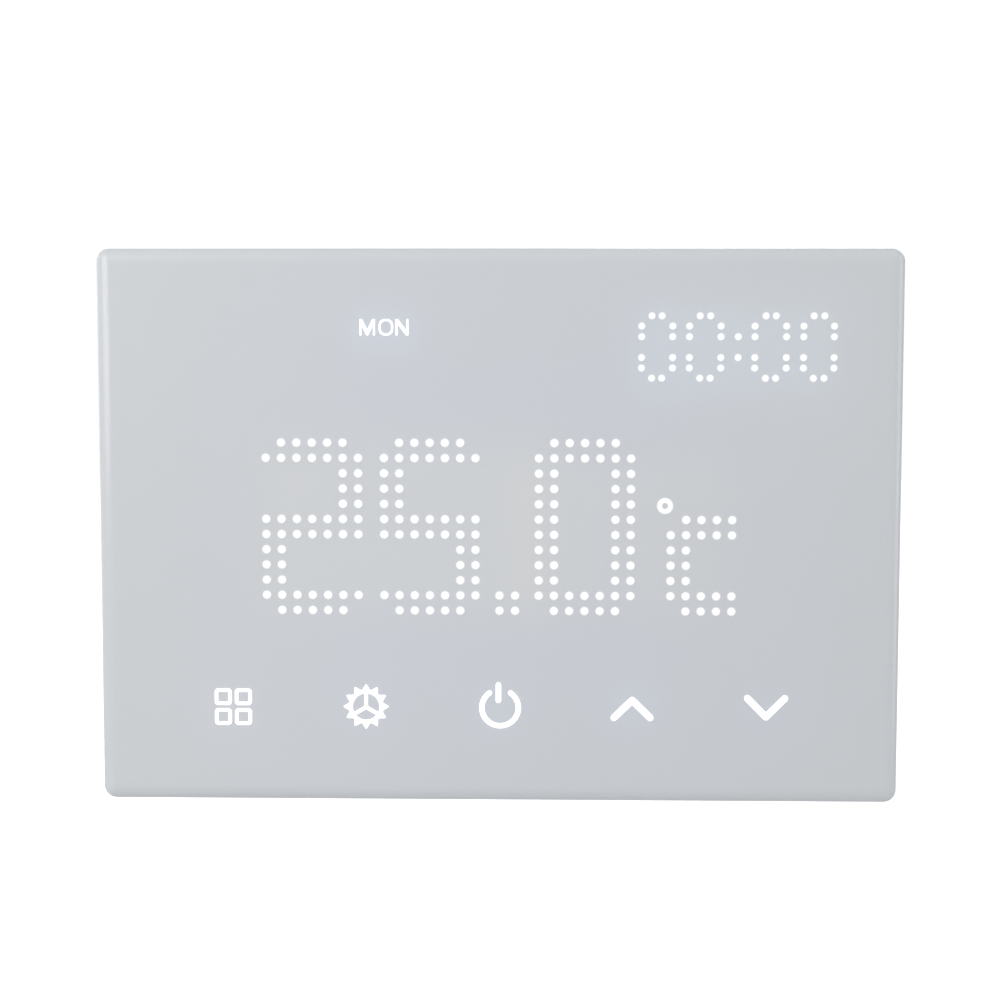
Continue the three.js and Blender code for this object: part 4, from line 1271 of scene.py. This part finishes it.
def display_board_back():
    b = Board()
    # controller: body and gull-wing legs inside the outline of the CAD chip
    me = Mesh()
    x, z, s = -2.0, 14.0, 10.0
    rings = []
    for y, inset in ((-6.50, 0.16), (-5.80, 0.0), (-5.13, 0.20), (-5.05, 0.30)):
        rings.append([(px, y, pz) for px, pz in rounded(s - 2 * inset, s - 2 * inset, 0.35, 3, x, z)])
    me.add(*loft(rings))
    me.revolve([(0.0, 0.0), (0.62, 0.0), (0.62, 0.012), (0.50, 0.012), (0.45, 0.003), (0.0, 0.003)], (x - 3.7, -5.052, z + 3.7), "Y", 18)
    me.done("controller_body", "front_unit", CHIP, slot="chip", smooth=30, replaces=("mcu_chip",))
    b2 = Board()
    b2.leaded(x, z, s, s, 1.55, legs_x=11, legs_z=11, pitch=0.8, leg=0.34, reach=0.95, notch=False)
    b.metal, b.pads = b2.metal, b2.pads
    # decoupling and crystal round the controller
    for dz in (-3.6, 0.2, 3.9):
        b.chip2(-10.6, 14 + dz, turn=True)
        b.chip2(6.6, 14 + dz, turn=True)
    for dx in (-4.0, -1.2, 1.6):
        b.chip2(x + dx, 22.4)
        b.chip2(x + dx, 5.7, tan=dx != -1.2)
    b.metal.add(*loft([[(px, BOARD_Y + y, pz) for px, pz in rounded(5.0 - 2 * i, 3.2 - 2 * i, 0.6, 4, -2.0, 26.4)]
                       for y, i in ((0.05, 0.0), (0.25, 0.0), (0.27, 0.14), (1.0, 0.14), (1.12, 0.30))]))
    b.chip2(-6.2, 26.4, turn=True)
    b.chip2(2.3, 26.4, turn=True)
    # display drivers
    for cx, cz in ((-20.5, 17.0), (-20.5, 1.5), (14.5, 17.0), (14.5, 1.5)):
        b.leaded(cx, cz, 3.9, 9.9, 1.55, legs_z=8)
        b.chip2(cx, cz + 6.6)
        b.chip2(cx + 4.3, cz - 6.2, turn=True, tan=False)
        b.chip2(cx + 2.6, cz - 6.2, turn=True, tan=False)
    # touch controller and its series resistors
    b.leaded(0.0, -26.8, 9.9, 3.9, 1.55, legs_x=8)
    for i, cx in enumerate((-40.35, -20.2, 0.1, 20.14, 40.36)):
        off = -4.8 if cx > 30 else 4.8
        b.chip2(cx + off, -24.6, tan=False)
        b.ring(cx, -24.2 if abs(cx) > 5 else -33.2, 0.35, 0.85, 16)
    for cx in (-8.6, 8.6):
        b.chip2(cx, -28.6, turn=True)
    # supply: regulator, bigger ceramics, diode, transistors
    b.leaded(-40.5, -8.0, 3.5, 6.5, 1.6, legs_z=3, pitch=2.3, leg=0.7)
    for cz in (-3.0, -13.0):
        b.chip2(-47.2, cz, (3.2, 1.6, 1.2), turn=True)
        b.chip2(-34.0, cz, (3.2, 1.6, 1.2), turn=True)
    b.leaded(-28.6, -8.0, 2.7, 4.5, 1.1, legs_x=1, leg=1.4, notch=False)
    for cx, cz in ((22.8, 24.0), (22.8, 29.0), (18.5, -8.0), (18.5, -14.0), (-24.0, -14.0)):
        b.leaded(cx, cz, 1.4, 2.9, 1.05, legs_z=2, pitch=1.9, leg=0.42, reach=0.55, notch=False)
    # resistor rows
    for i in range(7):
        b.chip2(-17.5 + 1.75 * i, -7.4, turn=True, tan=False)
    for i in range(5):
        b.chip2(7.6 + 1.75 * i, -9.6, turn=True, tan=i % 2 == 0)
    for i in range(4):
        b.chip2(-27.0, 20.5 + 2.0 * i, tan=i % 2 == 0)
        b.chip2(44.8, 8.0 + 2.2 * i, tan=i % 2 == 1)
    for i in range(4):
        b.chip2(13.0 + 2.9 * i, 31.6, tan=False)
    # screw pads, header and holder pads
    for sx in (-1, 1):
        for sz in (-1, 1):
            b.ring(sx * 52.0, sz * 17.6, 2.35, 3.1, 32)
    for i in range(8):
        px = (i - 3.5) * 2.54
        for s2 in (-1, 1):
            b.pads.box(px - 0.55, px + 0.55, BOARD_Y - 0.02, BOARD_Y + 0.035, *sorted((-17.5 + s2 * 1.32, -17.5 + s2 * 2.3)))
    for s2, px in ((-1, 25.2), (1, 42.8)):
        b.metal.box(px - 1.3, px + 1.3, BOARD_Y + 0.0, BOARD_Y + 0.22, -8.2, -3.8, bevel=0.08)
    for px in (25.4, 36.6):
        b.metal.box(px - 0.7, px + 0.7, BOARD_Y, BOARD_Y + 0.20, 19.2, 20.8, bevel=0.07)
    # tracks
    for i in range(8):                      # header up to the controller
        px = (i - 3.5) * 2.54
        mx = x + (i - 3.5) * 0.8
        z1 = -11.2 + abs(i - 3.5) * 0.55
        z2 = z1 + abs(px - mx)
        b.track([(px, -15.4), (px, z1), (mx, z2), (mx, 4.2 if i in (2, 4, 6) else 7.4)])
    for i in range(7):                      # controller to the left drivers
        zc = 11.6 + 0.8 * i
        zt = 12.6 + 1.27 * i
        b.track([(-8.3, zc), (-9.2, zc), (-12.4 - 0.42 * abs(zt - zc), zc), (-12.4 - 0.42 * abs(zt - zc) - abs(zt - zc), zt), (-17.3, zt)], 0.18)
        b.track([(4.3, zc), (5.1, zc), (7.9 + 0.42 * abs(zt - zc), zc), (7.9 + 0.42 * abs(zt - zc) + abs(zt - zc), zt), (11.3, zt)], 0.18)
    for i in range(7):
        for cx in (-20.5, 14.5):
            z0 = 5.3 - 1.27 * i
            b.track([(cx - 3.1, z0), (cx - 4.2 - 0.35 * i, z0 + 0.0), (cx - 4.6 - 0.35 * i, z0 + 0.4), (cx - 4.6 - 0.35 * i, 12.0 + 0.6 * i)], 0.18)
            b.via(cx - 4.6 - 0.35 * i, 12.2 + 0.6 * i)
            b.track([(cx + 3.1, z0 + 15.5), (cx + 5.2, z0 + 15.5), (cx + 5.9, z0 + 14.8)], 0.18)
            b.via(cx + 5.9, z0 + 14.8)
    for i, cx in enumerate((-40.35, -20.2, 0.1, 20.14, 40.36)):   # touch keys to their controller
        off = -4.8 if cx > 30 else 4.8
        lane = -31.0 - 0.6 * i
        tx = (i - 2) * 1.27
        if abs(cx) > 5:
            sgn = -1 if cx > 0 else 1
            b.track([(cx, -25.2), (cx + (off - 1.3), -25.2)], 0.22)
            xr = cx + off + (1.2 if off > 0 else -1.2)
            b.track([(xr, -24.6), (xr + sgn * 0.5, -24.6), (xr + sgn * 0.5 + sgn * 1.2, -25.8), (xr + sgn * 1.7, lane + 1.0), (xr + sgn * 2.7, lane), (tx - sgn * 1.0, lane), (tx, lane + 1.0), (tx, -30.2)], 0.2)
    for i in range(5):                      # radio module to the controller
        zc = 12.2 + 1.5 * i
        b.track([(-29.6, zc), (-28.6, zc), (-27.8, zc + 0.8), (-27.8, 28.6 + 0.55 * i), (-26.9, 29.5 + 0.55 * i), (-6.5 + 0.4 * i, 29.5 + 0.55 * i), (-5.9 + 0.4 * i, 28.9 + 0.55 * i), (-5.9 + 0.4 * i, 28.0)], 0.18)
    b.track([(-36.8, -10.3), (-36.0, -10.3), (-33.0, -17.0), (-14.0, -17.0), (-12.4, -15.6), (-9.2, -15.6)], 0.9)
    b.track([(-36.8, -5.7), (-30.6, -2.0), (-30.6, 6.0), (-33.0, 9.4)], 0.9)
    b.track([(-48.6, -5.0), (-50.2, -6.6), (-50.2, -24.0), (-46.5, -27.6)], 0.7)
    b.track([(45.4, -33.6), (45.4, -30.0), (44.0, -28.6), (44.0, -18.0), (20.6, -18.0), (16.0, -20.6), (9.6, -20.6), (8.9, -19.9)], 0.22)
    b.track([(46.4, -33.6), (46.4, -29.4), (45.2, -28.2), (45.2, -17.2), (20.2, -17.2), (16.4, -19.6), (10.4, -19.6)], 0.22)
    b.track([(36.0, 17.2), (38.2, 15.0), (38.2, 6.0), (42.0, 2.4)], 0.5)
    b.track([(25.4, 18.4), (25.4, 8.0), (22.6, 5.2), (22.6, -3.0), (24.6, -5.0)], 0.5)
    for px, pz in ((-24.6, -20.0), (-12.0, -21.6), (12.2, -22.8), (27.0, -22.0), (33.2, -20.6), (40.0, -16.0), (46.6, -12.0), (47.2, 2.0),
                   (47.6, 24.0), (42.4, 28.6), (30.0, 28.6), (8.0, 28.2), (-12.6, 25.4), (-14.6, 8.2), (-26.4, 12.6), (-48.8, 8.4), (-48.6, 28.2),
                   (-44.0, 4.6), (-36.4, 3.4), (-46.0, -18.4), (-37.6, -19.8), (-29.4, -22.2), (9.4, 3.0), (8.6, -3.2), (-8.4, 2.6), (-9.8, -3.4)):
        b.via(px, pz)
    for i in range(4):                      # test pads
        b.pads.revolve([(0.0, -0.02), (0.7, -0.02), (0.7, 0.03), (0.64, 0.04), (0.0, 0.04)], (48.6, BOARD_Y, -2.0 - 2.2 * i), "Y", 20)
    # printed outlines, generic
    def outline(cx, cz, w, h, t=0.14):
        for x0, x1, z0, z1 in ((cx - w / 2, cx + w / 2, cz - h / 2, cz - h / 2 + t), (cx - w / 2, cx + w / 2, cz + h / 2 - t, cz + h / 2),
                               (cx - w / 2, cx - w / 2 + t, cz - h / 2 + t * 1.2, cz + h / 2 - t * 1.2), (cx + w / 2 - t, cx + w / 2, cz - h / 2 + t * 1.2, cz + h / 2 - t * 1.2)):
            b.white.box(x0, x1, BOARD_Y - 0.02, BOARD_Y + 0.032, z0, z1)
    outline(-38.0, 22.0, 17.0, 25.0)
    outline(34.0, -6.0, 17.8, 15.8)
    outline(0.0, -17.5, 21.6, 5.4)
    outline(-2.0, 14.0, 13.6, 13.6)
    for cx, cz in ((-20.5, 17.0), (-20.5, 1.5), (14.5, 17.0), (14.5, 1.5)):
        outline(cx, cz, 7.4, 11.0)
    b.white.revolve([(5.0, -0.02), (5.14, -0.02), (5.14, 0.032), (5.0, 0.032), (5.0, -0.02)], (31.0, BOARD_Y, 20.0), "Y", 48)
    b.done()


display_board_back()


def radio_details():
    g = Mesh()
    y0, y1 = -5.87, -5.81
    pts = [(-44.6, 26.9)]
    i = 0
    xx = -44.6
    while xx < -32.6:
        pts += [(xx, 32.6 if i % 2 == 0 else 28.6), (xx + 1.3, 32.6 if i % 2 == 0 else 28.6)]
        xx += 1.3
        i += 1
    pts = [p for j, p in enumerate(pts) if j == 0 or p != pts[j - 1]]
    ribbon(g, pts, 0.5, y0, y1)
    for i in range(11):
        for sx in (-45.98, -30.02):
            zc = 11.4 + 1.5 * i
            a, b = sorted((sx, sx + (0.9 if sx < -40 else -0.9)))
            g.box(a, b, -6.66, -5.82, zc - 0.42, zc + 0.42, bevel=0.06)
    g.done("radio_antenna", "front_unit", GOLD, slot="contact", smooth=30)
    # a grid of dimples in the can, three by four
    d = Mesh()
    for i in range(3):
        for j in range(4):
            cx, cz = -42.4 + 4.4 * i, 12.9 + 3.9 * j
            d.revolve([(0.0, 0.02), (0.22, 0.02), (0.40, 0.05), (0.46, 0.0), (0.46, -0.08), (0.0, -0.08)], (cx, -3.80, cz), "Y", 14)
    d.done("radio_can_dimples", "front_unit", TINNED, slot="shield", smooth=50)


radio_details()


def board_parts():
    m = Mesh()
    m.revolve([(0, -6.65), (4.28, -6.65), (4.38, -6.52), (4.38, -3.72), (4.30, -3.50), (4.10, -3.38), (3.86, -3.35), (3.30, -3.35),
               (3.22, -3.42), (3.06, -3.42), (2.98, -3.35), (1.22, -3.35), (1.04, -3.44), (1.0, -3.60), (1.0, -4.70), (0, -4.70)], (31, 0, 20), "Y", 48)
    m.done("sounder", "front_unit", BLACK, slot="black_plastic", smooth=34, replaces=("buzzer",))
    m = Mesh()
    m.revolve([(0, -6.05), (5.10, -6.05), (5.24, -5.98), (5.30, -5.88), (5.62, -5.88), (5.95, -5.80), (6.12, -5.62), (6.15, -5.40), (6.15, -4.40),
               (6.09, -4.20), (5.92, -4.08), (5.70, -4.05), (5.20, -4.05), (5.08, -4.11), (0, -4.11)], (34, 0, -6), "Y", 64)
    m.done("lithium_cell", "front_unit", CAN, slot="cell", smooth=34, replaces=("coin_cell",))
    m = Mesh()
    m.box(32.6, 33.0, -4.13, -4.07, -2.2, -1.0, bevel=0.02)
    m.box(32.2, 33.4, -4.13, -4.07, -1.8, -1.4, bevel=0.02)
    for a, b, y in ((28.05, 29.6, -3.86), (38.4, 39.95, -3.86)):
        m.box(a, b, y - 0.16, y, -7.4, -4.6, bevel=0.06)
    strip = [[(px, py, -6 + s * 1.25) for px, py in ((29.2, -4.02), (31.4, -3.88), (34.0, -3.80), (36.6, -3.88), (38.8, -4.02))] for s in (-1, 1)]
    n = 5
    pts = [(x, y, z) for x, y, z in strip[0]] + [(x, y, z) for x, y, z in strip[1]]
    pts += [(x, y + 0.16, z) for x, y, z in strip[0]] + [(x, y + 0.16, z) for x, y, z in strip[1]]
    f = []
    for i in range(n - 1):
        f += [[i, i + 1, n + i + 1, n + i], [2 * n + i, 3 * n + i, 3 * n + i + 1, 2 * n + i + 1],
              [i, 2 * n + i, 2 * n + i + 1, i + 1], [n + i, n + i + 1, 3 * n + i + 1, 3 * n + i]]
    f += [[0, n, 3 * n, 2 * n], [n - 1, 3 * n - 1, 4 * n - 1, 2 * n - 1]]
    m.add(pts, f)
    m.done("cell_clip", "front_unit", CAN, slot="spring", smooth=30)
    # pin header: notched strip and pointed square pins
    top, bot = [], []
    for i in range(8):
        px = (i - 3.5) * 2.54
        l, r = px - 1.27 + (0.14 if i == 0 else 0), px + 1.27 - (0.14 if i == 7 else 0)
        top += [(l, -16.62 if i else -16.62), (l + 0.37, -16.25), (r - 0.37, -16.25), (r, -16.62)]
        bot += [(l, -18.38), (l + 0.37, -18.75), (r - 0.37, -18.75), (r, -18.38)]
    def dedupe(p):
        return [q for j, q in enumerate(p) if j == 0 or abs(q[0] - p[j - 1][0]) + abs(q[1] - p[j - 1][1]) > 1e-6]
    outl = dedupe(bot) + dedupe(top)[::-1]
    m = Mesh()
    m.prism(outl, -6.65, -4.2)
    ob = m.done("header_strip", "front_unit", BLACK, slot="black_plastic", smooth=None, replaces=("pin_header",))
    m = Mesh()
    for i in range(8):
        px = (i - 3.5) * 2.54
        rings = [[(px + sx * h, y, -17.5 + sz * h) for sx, sz in ((-1, -1), (1, -1), (1, 1), (-1, 1))]
                 for y, h in ((-6.60, 0.30), (-6.50, 0.32), (1.20, 0.32), (1.62, 0.22), (1.80, 0.10))]
        m.add(*loft(rings))
    m.done("header_pins", "front_unit", GOLD, slot="contact", smooth=None)
    # sensor bead on two leads
    m = Mesh()
    m.revolve([(0, -1.0), (0.38, -0.93), (0.70, -0.72), (0.92, -0.40), (1.0, 0.0), (0.95, 0.38), (0.80, 0.72), (0.60, 1.0), (0.46, 1.22), (0, 1.32)],
              (45.9, -5.6, -37.2), "Z", 24)
    m.done("sensor_drop", "front_unit", BEAD, slot="sensor", smooth=60, replaces=("temp_sensor",))
    for i, lx in enumerate((45.4, 46.4)):
        inner = 45.9 + (lx - 45.9) * 0.5
        path = bezier([(lx, -6.62, -34.62), (lx, -5.75, -34.62), (lx, -5.60, -34.9), (inner, -5.60, -36.3)], 14)
        tube(f"sensor_lead_{i + 1}", path, 0.13, "front_unit", SOLDER, "spring", seg=8)


def bezier(ctrl, n):
    p = [Vector(c) for c in ctrl]
    return [p[0] * (1 - t) ** 3 + p[1] * 3 * t * (1 - t) ** 2 + p[2] * 3 * t * t * (1 - t) + p[3] * t ** 3 for t in [i / n for i in range(n + 1)]]


board_parts()


# ------------------------------------------------------------------ terminals
def terminals():
    m = Mesh()
    for i in range(6):
        cx = (i - 2.5) * 7.62
        m.box(cx - 1.53, cx + 1.53, 8.67, 9.43, -21.93, -15.95, bevel=0.10)
    m.done("contact_bars", "base", BRASS, slot="contact", smooth=30)
    for i in range(6):
        cx = (i - 2.5) * 7.62
        slot_screw(f"clamp_screw_{i + 1}", f"terminal_screw_{i + 1}", f"terminal_screw_{i + 1}", cx, -19.0, (12, -24, 55, 4, -40, 28)[i])


def slot_screw(name, body, node, cx, cz, turn):
    """Terminal screw: domed head with a driver slot and cross, helical thread on the shank."""
    head_r, y_head, y_top, y_tip, r, pitch = 2.04, 15.6, 17.1, 9.7, 1.3, 0.5
    seg = 24
    pts, faces, rings = [], [], []

    def ring(fn):
        base = len(pts)
        for j in range(seg):
            a = 2 * math.pi * j / seg
            rr, y = fn(a)
            pts.append((rr * math.cos(a), y, rr * math.sin(a)))
        rings.append(base)

    ring(lambda a: (r * 0.62, y_tip))
    y = y_tip + 0.28
    while y < y_head - 0.12:
        yy = y
        def thread(a, yy=yy):
            ph = ((yy / pitch) + a / (2 * math.pi)) % 1.0
            return (r * (0.80 + 0.20 * (1 - abs(2 * ph - 1))), yy)
        ring(thread)
        y += pitch / 5
    ring(lambda a: (r * 0.86, y_head))
    ring(lambda a: (head_r * 0.94, y_head))
    for rr, t in ((1.0, 0.10), (1.0, 0.74), (0.955, 0.90), (0.84, 0.98), (0.60, 1.0)):
        ring(lambda a, rr=rr, t=t: (head_r * rr, y_head + (y_top - y_head) * t))
    for a, b in zip(rings, rings[1:]):
        for j in range(seg):
            k = (j + 1) % seg
            faces.append([a + j, a + k, b + k, b + j])
    faces.append([rings[0] + j for j in range(seg)])
    faces.append([rings[-1] + j for j in range(seg)])
    cut = Mesh()
    cut.box(-2.6, 2.6, 16.28, 18.0, -0.32, 0.32)
    pts2 = []
    for t, rr, hw in ((17.4, 1.25, 0.32), (16.0, 0.42, 0.22)):
        for sx, sz in ((-1, -1), (1, -1), (1, 1), (-1, 1)):
            pts2.append((sz * hw, t, sx * rr))
    cut2 = Mesh()
    cut2.add(pts2, [[0, 1, 2, 3], [7, 6, 5, 4], [0, 4, 5, 1], [1, 5, 6, 2], [2, 6, 7, 3], [3, 7, 4, 0]])
    final = carve(name, pts, faces, (cut, cut2))
    bm = bmesh.new()
    bm.from_mesh(final)
    bm.transform(Matrix.Translation(Vector((cx, 0, cz)) * MM) @ Matrix.Rotation(math.radians(turn), 4, "Y"))
    bm.to_mesh(final)
    bm.free()
    final.materials.clear()
    final.materials.append(ZINC)
    ob = bpy.data.objects.new(name, final)
    bpy.context.scene.collection.objects.link(ob)
    shade(ob, 38)
    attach(ob, body)
    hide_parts(node)


def carve(name, pts, faces, cutters):
    """Mesh of a closed solid less the cutters, in metres."""
    def obj(label, v, f):
        me = bpy.data.meshes.new(label)
        me.from_pydata([tuple(c * MM for c in p) for p in v], [], f)
        b2 = bmesh.new()
        b2.from_mesh(me)
        bmesh.ops.recalc_face_normals(b2, faces=b2.faces)
        b2.to_mesh(me)
        b2.free()
        ob = bpy.data.objects.new(label, me)
        bpy.context.scene.collection.objects.link(ob)
        return ob
    ob = obj(name + "_blank", pts, faces)
    tools = [obj(f"{name}_tool_{i}", c.v, c.f) for i, c in enumerate(cutters)]
    for t in tools:
        mod = ob.modifiers.new("cut", "BOOLEAN")
        mod.operation = "DIFFERENCE"
        mod.solver = "EXACT"
        mod.object = t
    bpy.context.view_layer.update()
    out = bpy.data.meshes.new_from_object(ob.evaluated_get(bpy.context.evaluated_depsgraph_get()))
    out.name = name
    for o in [ob] + tools:
        bpy.data.objects.remove(o)
    return out


terminals()


# ------------------------------------------------------------------ supply parts
def can_capacitor(name, node, cx, cz, r, y0, y1):
    """Electrolytic: sleeve rolled over a crimped can, scored aluminium top."""
    m = Mesh()
    m.revolve([(0, y0), (r * 0.90, y0), (r * 0.97, y0 + 0.25), (r, y0 + 0.7), (r, y0 + 1.5), (r * 0.955, y0 + 1.9), (r * 0.955, y0 + 2.2), (r, y0 + 2.6),
               (r, y1 - 0.7), (r * 0.975, y1 - 0.25), (r * 0.92, y1 - 0.04), (r * 0.86, y1 - 0.04), (r * 0.84, y1 - 0.20), (0, y1 - 0.20)], (cx, 0, cz), "Y", 40)
    m.done(name, "base", SLEEVE, slot="sleeve", smooth=34, replaces=(node,))
    t = Mesh()
    t.revolve([(0, y1 - 0.30), (r * 0.83, y1 - 0.30), (r * 0.83, y1 - 0.14), (r * 0.78, y1 - 0.10), (0, y1 - 0.10)], (cx, 0, cz), "Y", 40)
    out = carve(name + "_top", t.v, t.f, [score(cx, cz, r * 0.62, 0.22, y1 - 0.15, y1 + 0.2, a) for a in (30, 90, 150)])
    ob = bpy.data.objects.new(name + "_top", out)
    bpy.context.scene.collection.objects.link(ob)
    out.materials.clear()
    out.materials.append(CAN)
    shade(ob, 30)
    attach(ob, "base")


def score(cx, cz, half, w, y0, y1, deg):
    c, s = math.cos(math.radians(deg)), math.sin(math.radians(deg))
    m = Mesh()
    pts = []
    for y in (y0, y1):
        for a, b in ((-half, -w / 2), (half, -w / 2), (half, w / 2), (-half, w / 2)):
            pts.append((cx + a * c - b * s, y, cz + a * s + b * c))
    m.add(pts, [[0, 1, 2, 3], [7, 6, 5, 4], [0, 4, 5, 1], [1, 5, 6, 2], [2, 6, 7, 3], [3, 7, 4, 0]])
    return m


can_capacitor("bulk_capacitor", "capacitor_1", -2.6, 15.0, 4.95, 4.2, 20.4)
can_capacitor("output_capacitor", "capacitor_2", 26.6, -4.6, 3.95, 4.2, 15.8)
